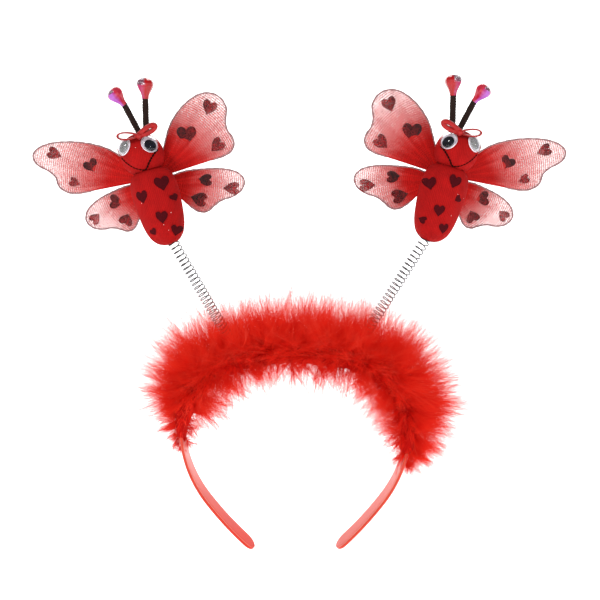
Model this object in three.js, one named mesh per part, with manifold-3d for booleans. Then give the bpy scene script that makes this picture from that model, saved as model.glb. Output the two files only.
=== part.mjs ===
// Bug hair band: a bent plastic strip trimmed with marabou down, and two winged bugs on coil springs.
// Millimetres, +Z up, the front faces -Y. The origin is the middle of the crown's inner face.
// "side" is -1 for the left bug and +1 for the right one. Inside a bug, "inner" is the side towards
// the middle of the hair band and "outer" the side away from it.
import * as THREE from 'three';
import { mergeVertices } from 'three/addons/utils/BufferGeometryUtils.js';
import Module from 'manifold-3d';

const GAP = 0.3; // clearance between neighbouring pieces
const MERGE_DISTANCE = 1e-5; // points this close are one corner of a mesh

// Hair band: arcs of one half's outer face, from the crown down to the tip
const BAND_WIDTH = 14;
const BAND_THICKNESS = 2.2;
const BAND_CHAMFER = 0.7;
const BAND_STEP = 9;
const TONGUE_LENGTH = 7; // the rounded end of each arm
const TONGUE_TURNS = [25, 50, 70, 85];
const BAND_ARCS = [
  { radius: 130, sweep: 16.9 },
  { radius: 43, sweep: 73.1 },
  { radius: 76.7, sweep: 35.6 },
  { radius: 208, sweep: 11.7 },
];

// Coil springs, standing on short posts that are moulded on the band
const SPRING_FOOT = 32.7; // distance from the crown along the band
const SPRING_START = 1.3; // first turn above the band
const SPRING_RADIUS = 3.05;
const SPRING_TURNS = 22;
const SPRING_TIGHTNESS = 0.8; // pitch at the foot as a share of the mean pitch
const WIRE_RADIUS = 0.3;
const COIL_STEPS = 8; // points of the wire in each turn
const COIL_SIDES = 4;
const COIL_FINENESS = 4; // length samples for each point of the wire
const POST_RADIUS = 2;
const POST_HEIGHT = 7;
const POST_ROOT = 1;
const POST_SIDES = 8;
const HOLE_SIDES = 16;

// Marabou down: how far the locks reach from the strip, outwards and inwards, along the band
const DOWN_SECTIONS = [
  { at: -106, outward: 7, inward: 7 },
  { at: -95, outward: 10, inward: 13 },
  { at: -82, outward: 20, inward: 20 },
  { at: -70, outward: 31, inward: 21 },
  { at: -60, outward: 35, inward: 22 },
  { at: -32, outward: 33, inward: 19 },
  { at: 0, outward: 34, inward: 17 },
  { at: 32, outward: 33, inward: 19 },
  { at: 62, outward: 36, inward: 21 },
  { at: 84, outward: 33, inward: 21 },
  { at: 100, outward: 22, inward: 15 },
  { at: 112, outward: 11, inward: 9 },
];
const DOWN_ROWS = 42;
const DOWN_AROUND = 16;
const HOLLOW = 0.7; // depth of the hollows between the locks, as a share of the reach
const LOCK_UNEVEN = 0.14; // share by which the reach varies
const LOCK_SHIFT = 1.6; // most that a tip leans along the strip
const LOCK_TURN = 0.3; // most that a tip leans round the strip, in steps
const TUNNEL_STEPS = 28;
const SCATTER_STEP = 12.99;
const SCATTER_SIZE = 43758.5;

// The two stalks: lean of the spring in degrees from upright, its length, and the place of the body's
// lower end. The right spring is pulled out a little further, as in the photo.
const STALKS = [
  { name: 'left', side: -1, springLean: 29.2, springLength: 76.9, bugX: 73.3, bugZ: 63.5 },
  { name: 'right', side: 1, springLean: 31.6, springLength: 80.9, bugX: 78.1, bugZ: 65.3 },
];
const BUG_LEAN = 14;

// Padded body: outline from its lower end up, flattened a little from front to back
const BODY_SHIFT = 1.6; // towards the inner side, away from the line of the head
const BODY_SECTIONS = [
  { height: 0, radius: 0 },
  { height: 0.5, radius: 3.4 },
  { height: 2.4, radius: 6.9 },
  { height: 6.4, radius: 9.9 },
  { height: 14, radius: 12 },
  { height: 28, radius: 13.35 },
  { height: 39, radius: 12.7 },
  { height: 44, radius: 10.4 },
  { height: 46.5, radius: 6 },
  { height: 47.2, radius: 0 },
];
const BODY_FLATNESS = 0.89;
const BODY_SIDES = 16;

// Padded head, a ball that is rolled and turned a little on the body
const HEAD_RADIUS = 12.2;
const HEAD_HEIGHT = 52.3;
const HEAD_ROLL = 8;
const HEAD_TURN = 2.5;
const HEAD_SIDES = 14;
const HEAD_RINGS = 9;

// Wiggle eyes: white back, loose pupil, clear dome
const EYE_AZIMUTH = 39;
const EYE_ELEVATION = 22;
const EYE_RADIUS = 4.9;
const EYE_SEAT = 0.9; // depth of the flat that the eye presses into the head
const EYE_BACK = 0.9;
const EYE_SIDES = 12;
const PUPIL_RADIUS = 3.2;
const PUPIL_THICKNESS = 0.5;
const PUPIL_DROP = 0.4;
const PUPIL_ASIDE = 0.2;
const DOME_HEIGHT = 2.6;
const DOME_WALL = 0.5;
const DOME_RINGS = 2;

// Antennae in the head's own frame, x towards the inner side: stem from foot to top, then a drop
const STEM_RADIUS = 1.7;
const STEM_SIDES = 8;
const STEM_SINK = 1.5;
const DROP_LENGTH = 11.4;
const DROP_SIDES = 8;
const ANTENNAE = [
  { name: 'outer', footX: -0.7, footZ: 11.4, topX: -6.4, topZ: 27.5, dropLean: -28, dropForward: 26 },
  { name: 'inner', footX: 3.8, footZ: 11.4, topX: 4.7, topZ: 29.2, dropLean: 8, dropForward: 8 },
];
const DROP_SECTIONS = [
  { height: 0, radius: 1.95 },
  { height: 0.25, radius: 2.6 },
  { height: 0.46, radius: 3.9 },
  { height: 0.68, radius: 4.9 },
  { height: 0.88, radius: 4.1 },
  { height: 0.98, radius: 2.2 },
];

// Ribbon bow in the head's own frame: a knot and two loops seen from the front
const RIBBON_WIDTH = 3;
const RIBBON_THICKNESS = 0.9;
const KNOT_X = 2.4;
const KNOT_Y = -11;
const KNOT_Z = 10.3;
const KNOT_RADIUS = 1.6;
const KNOT_SIDES = 8;
const BOW_LOOPS = [
  { length: 12, height: 4.4, lean: 177, twist: 8 },
  { length: 10.5, height: 5, lean: 17, twist: 35 },
];
const LOOP_POINTS = 5;
const LOOP_TAPER = 0.55; // a loop's fullness near the knot, as a share of that at its end

// Wings: outlines from the upper root round the tip to the lower root, measured from the hub
// on the body's back, for a wing that points to +X
const HUB_HEIGHT = 40;
const WING_PLANE = 12.9;
const WING_WIRE_RADIUS = 0.6;
const WING_WIRE_SIDES = 4;
const WING_STEPS = 25;
const NET_THICKNESS = 1;
const NET_START = 1; // steps of the wire that the net leaves free at each root
const WING_REACH = 57; // from the hub to the tip of a wing that isn't stretched
const SHEAR_LEVEL = 20; // height that stays in place where a wing is slanted
const ROOT_DIP = 1.1; // how far the wire's ends bend in towards the body
const UPPER = [
  { x: 2.5, z: -0.4 },
  { x: 7, z: 7 },
  { x: 12.5, z: 16 },
  { x: 20, z: 25.5 },
  { x: 31, z: 32.8 },
  { x: 43, z: 36.6 },
  { x: 51.5, z: 36 },
  { x: 56.5, z: 32 },
  { x: 57, z: 26 },
  { x: 53.2, z: 20 },
  { x: 51.8, z: 15 },
  { x: 52.8, z: 9 },
  { x: 49.5, z: 3.8 },
  { x: 42, z: 1.6 },
  { x: 30, z: 1.7 },
  { x: 17, z: 2.1 },
  { x: 5, z: -1.4 },
];
const LOWER = [
  { x: 2.5, z: -3.2 },
  { x: 16, z: -0.9 },
  { x: 27, z: -2 },
  { x: 37, z: -4.2 },
  { x: 44.5, z: -7.6 },
  { x: 48, z: -11.5 },
  { x: 48.5, z: -15.5 },
  { x: 45.5, z: -19.5 },
  { x: 40, z: -21.7 },
  { x: 34, z: -22.2 },
  { x: 29.5, z: -24 },
  { x: 24.5, z: -26.5 },
  { x: 20, z: -25.6 },
  { x: 16, z: -21.5 },
  { x: 11, z: -13.5 },
  { x: 4, z: -4.8 },
];
const WINGS = [
  { name: 'upper_inner', outline: UPPER, inner: true, wide: 0.927, tall: 1.06, slant: -0.21, sweep: 0 },
  { name: 'upper_outer', outline: UPPER, inner: false, wide: 1.085, tall: 0.9, slant: 0.26, sweep: 0 },
  { name: 'lower_inner', outline: LOWER, inner: true, wide: 1.05, tall: 1, slant: 0, sweep: 5 },
  { name: 'lower_outer', outline: LOWER, inner: false, wide: 0.95, tall: 1, slant: 0, sweep: 5 },
];

const wasm = await Module();
wasm.setup();
const rad = THREE.MathUtils.degToRad;
const UP = new THREE.Vector3(0, 0, 1);
const DEPTH = new THREE.Vector3(0, 1, 0);

const FINISHES = {
  band: { color: 0xf0564a, roughness: 0.25, metalness: 0 },
  down: { color: 0xd81f16, roughness: 0.9, metalness: 0 },
  steel: { color: 0xb8b8bc, roughness: 0.25, metalness: 1 },
  plush: { color: 0xc8161a, roughness: 0.85, metalness: 0 },
  eyeWhite: { color: 0xf4f4f4, roughness: 0.4, metalness: 0 },
  pupil: { color: 0x0b0b0d, roughness: 0.4, metalness: 0 },
  dome: { color: 0xffffff, roughness: 0.05, metalness: 0, transparent: true, opacity: 0.35 },
  stem: { color: 0x1d1614, roughness: 0.8, metalness: 0 },
  drop: { color: 0xd84a78, roughness: 0.15, metalness: 0.2 },
  ribbon: { color: 0xc81418, roughness: 0.45, metalness: 0 },
  wingWire: { color: 0x8c3030, roughness: 0.6, metalness: 0.2 },
  net: { color: 0xe06058, roughness: 0.8, metalness: 0, transparent: true, opacity: 0.7 },
};

function piece(name, geometry, finish) {
  const mesh = new THREE.Mesh(geometry, new THREE.MeshStandardMaterial(FINISHES[finish]));
  mesh.name = name;
  return mesh;
}

// A closed mesh as a solid that can be joined and cut.
function toSolid(geometry) {
  const bare = geometry.clone();
  bare.deleteAttribute('normal');
  bare.deleteAttribute('uv');
  const merged = mergeVertices(bare, MERGE_DISTANCE);
  return new wasm.Manifold(new wasm.Mesh({
    numProp: 3,
    vertProperties: new Float32Array(merged.attributes.position.array),
    triVerts: new Uint32Array(merged.index.array),
  }));
}

function toGeometry(solid) {
  const mesh = solid.getMesh();
  const geometry = new THREE.BufferGeometry();
  geometry.setAttribute('position', new THREE.BufferAttribute(mesh.vertProperties, 3));
  geometry.setIndex(new THREE.BufferAttribute(mesh.triVerts, 1));
  geometry.computeVertexNormals();
  return geometry;
}

// Skin over a row of rings with equal point counts, each counter-clockwise about the way ahead.
// The first and last rings are closed flat.
function loft(rings) {
  const count = rings[0].length;
  const vertices = rings.flat().flatMap((p) => [p.x, p.y, p.z]);
  const index = [];
  for (let row = 0; row + 1 < rings.length; row += 1) {
    for (let k = 0; k < count; k += 1) {
      const a = row * count + k;
      const b = row * count + ((k + 1) % count);
      index.push(a, b, a + count, b, b + count, a + count);
    }
  }
  const last = (rings.length - 1) * count;
  for (let k = 1; k + 1 < count; k += 1) {
    index.push(0, k + 1, k);
    index.push(last, last + k, last + k + 1);
  }
  const geometry = new THREE.BufferGeometry();
  geometry.setAttribute('position', new THREE.Float32BufferAttribute(vertices, 3));
  geometry.setIndex(index);
  geometry.computeVertexNormals();
  return geometry;
}

// Round bar that follows a curve.
function tube(curve, radius, sides, steps) {
  const corners = [];
  for (let k = 0; k < sides; k += 1) {
    const angle = (2 * Math.PI * k) / sides;
    corners.push(new THREE.Vector2(radius * Math.cos(angle), radius * Math.sin(angle)));
  }
  return new THREE.ExtrudeGeometry(new THREE.Shape(corners), { steps, extrudePath: curve });
}

// Turned solid with its axis along +Z, from a table of heights and radii.
function turned(sections, sides) {
  const profile = sections.map(({ height, radius }) => new THREE.Vector2(radius, height));
  const geometry = new THREE.LatheGeometry(profile, sides);
  geometry.rotateX(Math.PI / 2);
  return geometry;
}

// Straight round bar from its foot along a direction.
function rod(foot, direction, length, radius, sides) {
  const geometry = new THREE.CylinderGeometry(radius, radius, length, sides);
  geometry.translate(0, length / 2, 0);
  const turn = new THREE.Quaternion().setFromUnitVectors(DEPTH, direction.clone().normalize());
  geometry.applyQuaternion(turn);
  geometry.translate(foot.x, foot.y, foot.z);
  return geometry;
}

// Repeatable scatter between -1 and 1 for a numbered place and draw: the last digits of a sine.
function scatter(place, draw) {
  const wave = SCATTER_SIZE * Math.sin(SCATTER_STEP * place + draw);
  return 2 * (wave - Math.floor(wave)) - 1;
}

const bandReach = BAND_ARCS.reduce((sum, { radius, sweep }) => sum + radius * rad(sweep), 0);

// Point of the band's outer face at a signed distance from the crown, with its outward direction.
function bandAt(distance) {
  const side = distance < 0 ? -1 : 1;
  const spot = new THREE.Vector3(0, 0, BAND_THICKNESS);
  let left = Math.abs(distance);
  let heading = 0;
  for (const { radius, sweep } of BAND_ARCS) {
    const turn = Math.min(left / radius, rad(sweep));
    spot.x += radius * (Math.sin(heading + turn) - Math.sin(heading));
    spot.z += radius * (Math.cos(heading + turn) - Math.cos(heading));
    heading += turn;
    left -= turn * radius;
  }
  spot.x *= side;
  return { spot, out: new THREE.Vector3(side * Math.sin(heading), 0, Math.cos(heading)) };
}

// Section of the strip: a rectangle with cut corners, grown by a margin on all sides.
function stripRing(distance, halfWidth, margin) {
  const { spot, out } = bandAt(distance);
  const cut = Math.min(BAND_CHAMFER, halfWidth / 2);
  const wide = halfWidth + margin;
  const top = margin;
  const bottom = -BAND_THICKNESS - margin;
  const corners = [
    [-wide + cut, bottom],
    [wide - cut, bottom],
    [wide, bottom + cut],
    [wide, top - cut],
    [wide - cut, top],
    [-wide + cut, top],
    [-wide, top - cut],
    [-wide, bottom + cut],
  ];
  return corners.map(([across, high]) =>
    spot.clone().addScaledVector(DEPTH, across).addScaledVector(out, high));
}

// Direction and foot of one spring.
function springLine({ side, springLean }) {
  const { spot } = bandAt(side * SPRING_FOOT);
  const lean = rad(springLean);
  return { foot: spot, along: new THREE.Vector3(side * Math.sin(lean), 0, Math.cos(lean)) };
}

function makeBand() {
  const straight = bandReach - TONGUE_LENGTH;
  const steps = Math.ceil((2 * straight) / BAND_STEP);
  const rings = [];
  const tongue = TONGUE_TURNS.map((turn) => ({
    distance: straight + TONGUE_LENGTH * Math.sin(rad(turn)),
    halfWidth: (BAND_WIDTH / 2) * Math.cos(rad(turn)),
  }));
  for (const { distance, halfWidth } of [...tongue].reverse()) rings.push(stripRing(-distance, halfWidth, 0));
  for (let k = 0; k <= steps; k += 1) {
    rings.push(stripRing(-straight + (2 * straight * k) / steps, BAND_WIDTH / 2, 0));
  }
  for (const { distance, halfWidth } of tongue) rings.push(stripRing(distance, halfWidth, 0));
  let strip = toSolid(loft(rings));
  for (const stalk of STALKS) {
    const { foot, along } = springLine(stalk);
    const root = foot.clone().addScaledVector(along, -POST_ROOT);
    strip = strip.add(toSolid(rod(root, along, POST_HEIGHT + POST_ROOT, POST_RADIUS, POST_SIDES)));
  }
  return piece('band', toGeometry(strip), 'band');
}

// Reach of the down at a distance along the band and an angle round it, 0 outward, half a turn inward.
function downReach(distance, angle) {
  const next = Math.max(1, DOWN_SECTIONS.findIndex(({ at }) => at >= distance));
  const a = DOWN_SECTIONS[next - 1];
  const b = DOWN_SECTIONS[next];
  const share = THREE.MathUtils.inverseLerp(a.at, b.at, distance);
  const outward = THREE.MathUtils.lerp(a.outward, b.outward, share);
  const inward = THREE.MathUtils.lerp(a.inward, b.inward, share);
  return THREE.MathUtils.lerp(inward, outward, (1 + Math.cos(angle)) / 2);
}

// Point of the down at a distance along the band, an angle round the strip and a share of its reach.
function downPoint(distance, angle, share) {
  const { spot, out } = bandAt(distance);
  const centre = spot.addScaledVector(out, -BAND_THICKNESS / 2);
  const direction = out.clone().multiplyScalar(Math.cos(angle)).addScaledVector(DEPTH, Math.sin(angle));
  return centre.addScaledVector(direction, share * downReach(distance, angle));
}

// The down is one skin round the strip. Every second point of it is a lock's tip, the rest are hollows.
function makeMarabou() {
  const first = DOWN_SECTIONS[0].at;
  const last = DOWN_SECTIONS[DOWN_SECTIONS.length - 1].at;
  const rings = [];
  for (let row = 0; row <= DOWN_ROWS; row += 1) {
    const distance = THREE.MathUtils.lerp(first, last, row / DOWN_ROWS);
    const inside = row > 0 && row < DOWN_ROWS;
    const ring = [];
    for (let k = 0; k < DOWN_AROUND; k += 1) {
      const place = row * DOWN_AROUND + k;
      const angle = (-2 * Math.PI * k) / DOWN_AROUND;
      if (inside && (row + k) % 2 === 0) {
        const shift = LOCK_SHIFT * scatter(place, 1) * (1 + Math.cos(angle)) / 2;
        const turn = (2 * Math.PI * LOCK_TURN * scatter(place, 2)) / DOWN_AROUND;
        ring.push(downPoint(distance + shift, angle + turn, 1 + LOCK_UNEVEN * scatter(place, 3)));
      } else {
        ring.push(downPoint(distance, angle, inside ? HOLLOW : 1));
      }
    }
    rings.push(ring);
  }
  const tunnel = [];
  for (let k = -1; k <= TUNNEL_STEPS + 1; k += 1) {
    const distance = THREE.MathUtils.lerp(first, last, k / TUNNEL_STEPS);
    tunnel.push(stripRing(distance, BAND_WIDTH / 2, GAP));
  }
  let down = toSolid(loft(rings)).subtract(toSolid(loft(tunnel)));
  const hole = SPRING_RADIUS + WIRE_RADIUS + 2 * GAP;
  for (const stalk of STALKS) {
    const { foot, along } = springLine(stalk);
    const root = foot.addScaledVector(along, -POST_ROOT);
    down = down.subtract(toSolid(rod(root, along, stalk.springLength, hole, HOLE_SIDES)));
  }
  return piece('marabou', toGeometry(down), 'down');
}

// Helix along +Z whose turns are closer together at the foot.
class Coil extends THREE.Curve {
  constructor(length) {
    super();
    this.length = length;
    this.arcLengthDivisions = SPRING_TURNS * COIL_STEPS * COIL_FINENESS;
  }

  getPoint(t, target = new THREE.Vector3()) {
    const turn = 2 * Math.PI * SPRING_TURNS * t;
    const high = SPRING_TIGHTNESS * t + (1 - SPRING_TIGHTNESS) * t * t;
    return target.set(SPRING_RADIUS * Math.cos(turn), SPRING_RADIUS * Math.sin(turn), this.length * high);
  }
}

function makeSpring(stalk) {
  const { foot, along } = springLine(stalk);
  const wire = tube(new Coil(stalk.springLength), WIRE_RADIUS, COIL_SIDES, SPRING_TURNS * COIL_STEPS);
  const mesh = piece(`${stalk.name}_spring`, wire, 'steel');
  mesh.position.copy(foot).addScaledVector(along, SPRING_START);
  mesh.rotation.y = stalk.side * rad(stalk.springLean);
  return mesh;
}

function makeBody(stalk, bug) {
  const geometry = turned(BODY_SECTIONS, BODY_SIDES);
  geometry.scale(1, BODY_FLATNESS, 1);
  geometry.translate(-stalk.side * BODY_SHIFT, 0, 0);
  const neck = new THREE.SphereGeometry(HEAD_RADIUS + GAP, HEAD_SIDES, HEAD_RINGS);
  neck.rotateX(Math.PI / 2);
  neck.translate(0, 0, HEAD_HEIGHT);
  const { foot, along } = springLine(stalk);
  bug.updateMatrixWorld();
  const toBug = bug.matrixWorld.clone().invert();
  const start = foot.clone().applyMatrix4(toBug);
  const axis = along.clone().transformDirection(toBug);
  const reach = SPRING_START + stalk.springLength + GAP + WIRE_RADIUS;
  const socket = rod(start, axis, reach, SPRING_RADIUS + WIRE_RADIUS + GAP, HOLE_SIDES);
  const solid = toSolid(geometry).subtract(toSolid(neck)).subtract(toSolid(socket));
  return piece(`${stalk.name}_body`, toGeometry(solid), 'plush');
}

// The two eyes' places on the head: outward direction and name.
function eyePlaces(side) {
  const high = rad(EYE_ELEVATION);
  return [{ name: 'outer', at: side }, { name: 'inner', at: -side }].map(({ name, at }) => {
    const round = rad(EYE_AZIMUTH) * at;
    const flat = Math.cos(high);
    const out = new THREE.Vector3(flat * Math.sin(round), -flat * Math.cos(round), Math.sin(high));
    return { name, out };
  });
}

function makeHead(side, name) {
  const ball = new THREE.SphereGeometry(HEAD_RADIUS, HEAD_SIDES, HEAD_RINGS);
  ball.rotateX(Math.PI / 2);
  let solid = toSolid(ball);
  for (const { out } of eyePlaces(side)) {
    const seat = out.clone().multiplyScalar(HEAD_RADIUS - EYE_SEAT);
    solid = solid.subtract(toSolid(rod(seat, out, 2 * EYE_SEAT, EYE_RADIUS + GAP, EYE_SIDES)));
  }
  for (const { foot, along } of antennaLines(side)) {
    const bottom = foot.clone().addScaledVector(along, -STEM_SINK - GAP);
    solid = solid.subtract(toSolid(rod(bottom, along, 2 * STEM_SINK, STEM_RADIUS + GAP, STEM_SIDES)));
  }
  return piece(`${name}_head`, toGeometry(solid), 'plush');
}

function makeEye(side, name, { name: place, out }) {
  const eye = new THREE.Group();
  eye.position.copy(out).multiplyScalar(HEAD_RADIUS - EYE_SEAT + GAP);
  eye.quaternion.setFromUnitVectors(UP, out);
  const back = turned([
    { height: 0, radius: 0 },
    { height: 0, radius: EYE_RADIUS },
    { height: EYE_BACK, radius: EYE_RADIUS },
    { height: EYE_BACK, radius: 0 },
  ], EYE_SIDES);
  const pupil = turned([
    { height: 0, radius: 0 },
    { height: 0, radius: PUPIL_RADIUS },
    { height: PUPIL_THICKNESS, radius: PUPIL_RADIUS },
    { height: PUPIL_THICKNESS, radius: 0 },
  ], EYE_SIDES);
  pupil.translate(-side * PUPIL_ASIDE, -PUPIL_DROP, EYE_BACK + GAP);
  const shell = [];
  for (let k = 0; k <= DOME_RINGS; k += 1) {
    const angle = ((Math.PI / 2) * k) / DOME_RINGS;
    shell.push({ height: DOME_HEIGHT * Math.sin(angle), radius: EYE_RADIUS * Math.cos(angle) });
  }
  for (let k = DOME_RINGS; k >= 0; k -= 1) {
    const angle = ((Math.PI / 2) * k) / DOME_RINGS;
    shell.push({
      height: (DOME_HEIGHT - DOME_WALL) * Math.sin(angle),
      radius: (EYE_RADIUS - DOME_WALL) * Math.cos(angle),
    });
  }
  const dome = turned([...shell.slice(DOME_RINGS + 1), ...shell.slice(0, DOME_RINGS + 1)], EYE_SIDES);
  dome.translate(0, 0, EYE_BACK + GAP);
  eye.add(piece(`${name}_${place}_eye_back`, back, 'eyeWhite'));
  eye.add(piece(`${name}_${place}_eye_pupil`, pupil, 'pupil'));
  eye.add(piece(`${name}_${place}_eye_dome`, dome, 'dome'));
  return eye;
}

// Feet and directions of the two antenna stems in the head's frame.
function antennaLines(side) {
  return ANTENNAE.map((row) => {
    const foot = new THREE.Vector3(-side * row.footX, 0, row.footZ);
    const top = new THREE.Vector3(-side * row.topX, 0, row.topZ);
    return { ...row, foot, top, along: top.clone().sub(foot).normalize() };
  });
}

function makeAntenna(side, name, { name: place, foot, top, along, dropLean, dropForward }) {
  const antenna = new THREE.Group();
  const bottom = foot.clone().addScaledVector(along, -STEM_SINK);
  const stem = rod(bottom, along, top.distanceTo(bottom), STEM_RADIUS, STEM_SIDES);
  antenna.add(piece(`${name}_${place}_stem`, stem, 'stem'));
  const sections = DROP_SECTIONS.map(({ height, radius }) => ({ height: height * DROP_LENGTH, radius }));
  const ends = [{ height: 0, radius: 0 }, { height: DROP_LENGTH, radius: 0 }];
  const drop = turned([ends[0], ...sections, ends[1]], DROP_SIDES);
  const bead = piece(`${name}_${place}_drop`, drop, 'drop');
  bead.rotation.set(rad(dropForward), -side * rad(dropLean), 0, 'YXZ');
  const tilt = along.angleTo(UP.clone().applyEuler(bead.rotation));
  bead.position.copy(top).addScaledVector(along, GAP + DROP_SECTIONS[0].radius * Math.sin(tilt));
  antenna.add(bead);
  return antenna;
}

// Solid almond shape that points along +X from a start, with a flat thickness along Y.
function almond(start, length, height, thickness) {
  const upper = [];
  for (let k = 0; k <= LOOP_POINTS; k += 1) {
    const share = k / LOOP_POINTS;
    const x = start + (length * (1 - Math.cos(Math.PI * share))) / 2;
    const fullness = LOOP_TAPER + (1 - LOOP_TAPER) * share;
    upper.push(new THREE.Vector2(x, (height / 2) * Math.sin(Math.PI * share) * fullness));
  }
  const lower = upper.slice(1, -1).reverse().map((p) => new THREE.Vector2(p.x, -p.y));
  const geometry = new THREE.ExtrudeGeometry(new THREE.Shape([...upper, ...lower]), {
    depth: thickness,
    bevelEnabled: false,
  });
  geometry.translate(0, 0, -thickness / 2);
  geometry.rotateX(Math.PI / 2);
  return geometry;
}

// One ribbon loop of the bow: an almond-shaped ring.
function bowLoop({ length, height, lean, twist }, side) {
  const wall = RIBBON_THICKNESS;
  const outside = toSolid(almond(0, length, height, RIBBON_WIDTH));
  const inside = toSolid(almond(2 * wall, length - 3 * wall, height - 2 * wall, 2 * RIBBON_WIDTH));
  const loop = toGeometry(outside.subtract(inside));
  loop.rotateX(side * rad(twist));
  loop.rotateY(side < 0 ? -rad(lean) : rad(lean) - Math.PI);
  loop.translate(-side * KNOT_X, KNOT_Y, KNOT_Z);
  return loop;
}

function makeBow(side, name) {
  const knot = new THREE.SphereGeometry(KNOT_RADIUS, KNOT_SIDES, KNOT_SIDES / 2);
  knot.translate(-side * KNOT_X, KNOT_Y, KNOT_Z);
  let solid = toSolid(knot);
  for (const row of BOW_LOOPS) solid = solid.add(toSolid(bowLoop(row, side)));
  return piece(`${name}_bow`, toGeometry(solid), 'ribbon');
}

// One wing: the wire loop, and the net inside it, in a group that swings about the hub.
function makeWing(side, name, { name: place, outline, inner, wide, tall, slant, sweep }) {
  const wing = new THREE.Group();
  const facing = inner ? -side : side;
  const rim = outline.map(({ x, z }) => {
    const aside = (slant * (z - SHEAR_LEVEL) * x) / WING_REACH;
    return new THREE.Vector3(x * wide + aside, 0, z * tall);
  });
  rim[0].y = -ROOT_DIP;
  rim[rim.length - 1].y = -ROOT_DIP;
  const mirrored = rim.map((p) => new THREE.Vector3(facing * p.x, p.y, p.z));
  const wire = tube(new THREE.CatmullRomCurve3(mirrored), WING_WIRE_RADIUS, WING_WIRE_SIDES, WING_STEPS);
  const curve = new THREE.CatmullRomCurve3(rim);
  const corners = [];
  const inset = WING_WIRE_RADIUS + GAP;
  for (let k = NET_START; k <= WING_STEPS - NET_START; k += 1) {
    const spot = curve.getPointAt(k / WING_STEPS);
    const ahead = curve.getTangentAt(k / WING_STEPS);
    corners.push(new THREE.Vector2(facing * (spot.x + inset * ahead.z), spot.z - inset * ahead.x));
  }
  const net = new THREE.ExtrudeGeometry(new THREE.Shape(corners), {
    depth: NET_THICKNESS,
    bevelEnabled: false,
  });
  net.translate(0, 0, -NET_THICKNESS / 2);
  net.rotateX(Math.PI / 2);
  wing.add(piece(`${name}_${place}_wire`, wire, 'wingWire'));
  wing.add(piece(`${name}_${place}_net`, net, 'net'));
  wing.position.set(0, WING_PLANE, HUB_HEIGHT);
  wing.rotation.z = facing * rad(sweep);
  return wing;
}

function makeBug(stalk) {
  const { name, side, bugX, bugZ } = stalk;
  const bug = new THREE.Group();
  bug.position.set(side * bugX, 0, bugZ);
  bug.rotation.y = side * rad(BUG_LEAN);
  bug.add(makeBody(stalk, bug));
  const head = new THREE.Group();
  head.position.z = HEAD_HEIGHT;
  head.rotation.set(0, -side * rad(HEAD_ROLL), side * rad(HEAD_TURN));
  head.add(makeHead(side, name));
  for (const place of eyePlaces(side)) head.add(makeEye(side, name, place));
  for (const line of antennaLines(side)) head.add(makeAntenna(side, name, line));
  head.add(makeBow(side, name));
  bug.add(head);
  for (const wing of WINGS) bug.add(makeWing(side, name, wing));
  return bug;
}

const headband = new THREE.Group();
headband.add(makeBand(), makeMarabou());
for (const stalk of STALKS) headband.add(makeSpring(stalk), makeBug(stalk));

export default headband;
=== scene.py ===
# %% [markdown]
# # Dressing a bug hair band
# The real thing is a springy plastic hair band wound with red marabou down. Two padded bugs with sheer
# wings, wiggle eyes and ribbon bows bob above it on coil springs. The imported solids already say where
# every piece is and how it moves. This lesson gives each piece its visible surface: every shape is a
# formula on a grid of numbers, worked out as whole arrays, and every finish is a set of shader nodes.

# %% Load the frame
import math

import bpy
import numpy as np
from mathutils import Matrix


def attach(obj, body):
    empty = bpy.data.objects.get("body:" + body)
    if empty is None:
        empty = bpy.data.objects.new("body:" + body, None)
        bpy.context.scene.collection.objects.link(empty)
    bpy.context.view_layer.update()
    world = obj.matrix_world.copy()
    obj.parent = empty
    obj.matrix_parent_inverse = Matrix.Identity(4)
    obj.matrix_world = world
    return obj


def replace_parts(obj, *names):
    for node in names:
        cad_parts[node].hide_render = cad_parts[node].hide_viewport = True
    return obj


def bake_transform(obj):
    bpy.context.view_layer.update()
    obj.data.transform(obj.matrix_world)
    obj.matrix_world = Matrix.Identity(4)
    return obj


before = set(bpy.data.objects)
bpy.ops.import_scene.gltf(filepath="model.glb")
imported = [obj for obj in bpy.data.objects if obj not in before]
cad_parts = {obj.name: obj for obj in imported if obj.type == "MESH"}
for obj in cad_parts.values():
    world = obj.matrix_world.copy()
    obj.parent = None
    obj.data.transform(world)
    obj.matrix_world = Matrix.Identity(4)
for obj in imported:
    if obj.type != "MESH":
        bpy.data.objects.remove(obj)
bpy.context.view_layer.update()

MM = 0.001
SIDES = {"left": -1, "right": 1}
rng = np.random.default_rng(11)

# %% [markdown]
# ## Camera, light and floor
# A catalogue photo of this kind is taken a little from above, close up, in a white tent. A tent can be
# made with many lamps, but one pale sweep of paper, a bright sky and three soft lamps look the same
# and render quickly. The paper runs down behind the part and then forward under it.

# %% Camera and studio
VIEW_DISTANCE = 400
VIEW_ELEVATION = math.radians(8)
VIEW_TARGET = np.array([2.84, 0, 31.9])
VIEW_LENS = 41.4
LAMPS = (
    # name, place, width, power
    ("key_lamp", (-700, -900, 900), 260, 8),
    ("fill_lamp", (900, -800, 350), 240, 3),
    ("rim_lamp", (150, 800, 900), 600, 4),
)
PAPER_LEVEL = -230
PAPER_BEND = 500
PAPER_BACK = 900
PAPER_HALF = 3000


def grid_faces(rows, columns, wrap):
    """Corner numbers of the squares of a grid, row by row; wrap joins the last column to the first."""
    row, column = np.mgrid[0:rows - 1, 0:columns if wrap else columns - 1].reshape(2, -1)
    after = (column + 1) % columns
    low, high = row * columns, (row + 1) * columns
    return np.stack([low + column, low + after, high + after, high + column], 1)


def grid_corners(rows, columns, wrap):
    """Surface coordinates of each square's four corners: across in the columns, along in the rows."""
    row, column = np.mgrid[0:rows - 1, 0:columns if wrap else columns - 1].reshape(2, -1)
    across = np.stack([column, column + 1, column + 1, column], 1) / (columns if wrap else columns - 1)
    along = np.stack([row, row, row + 1, row + 1], 1) / (rows - 1)
    return np.stack([across, along], 2)


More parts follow.
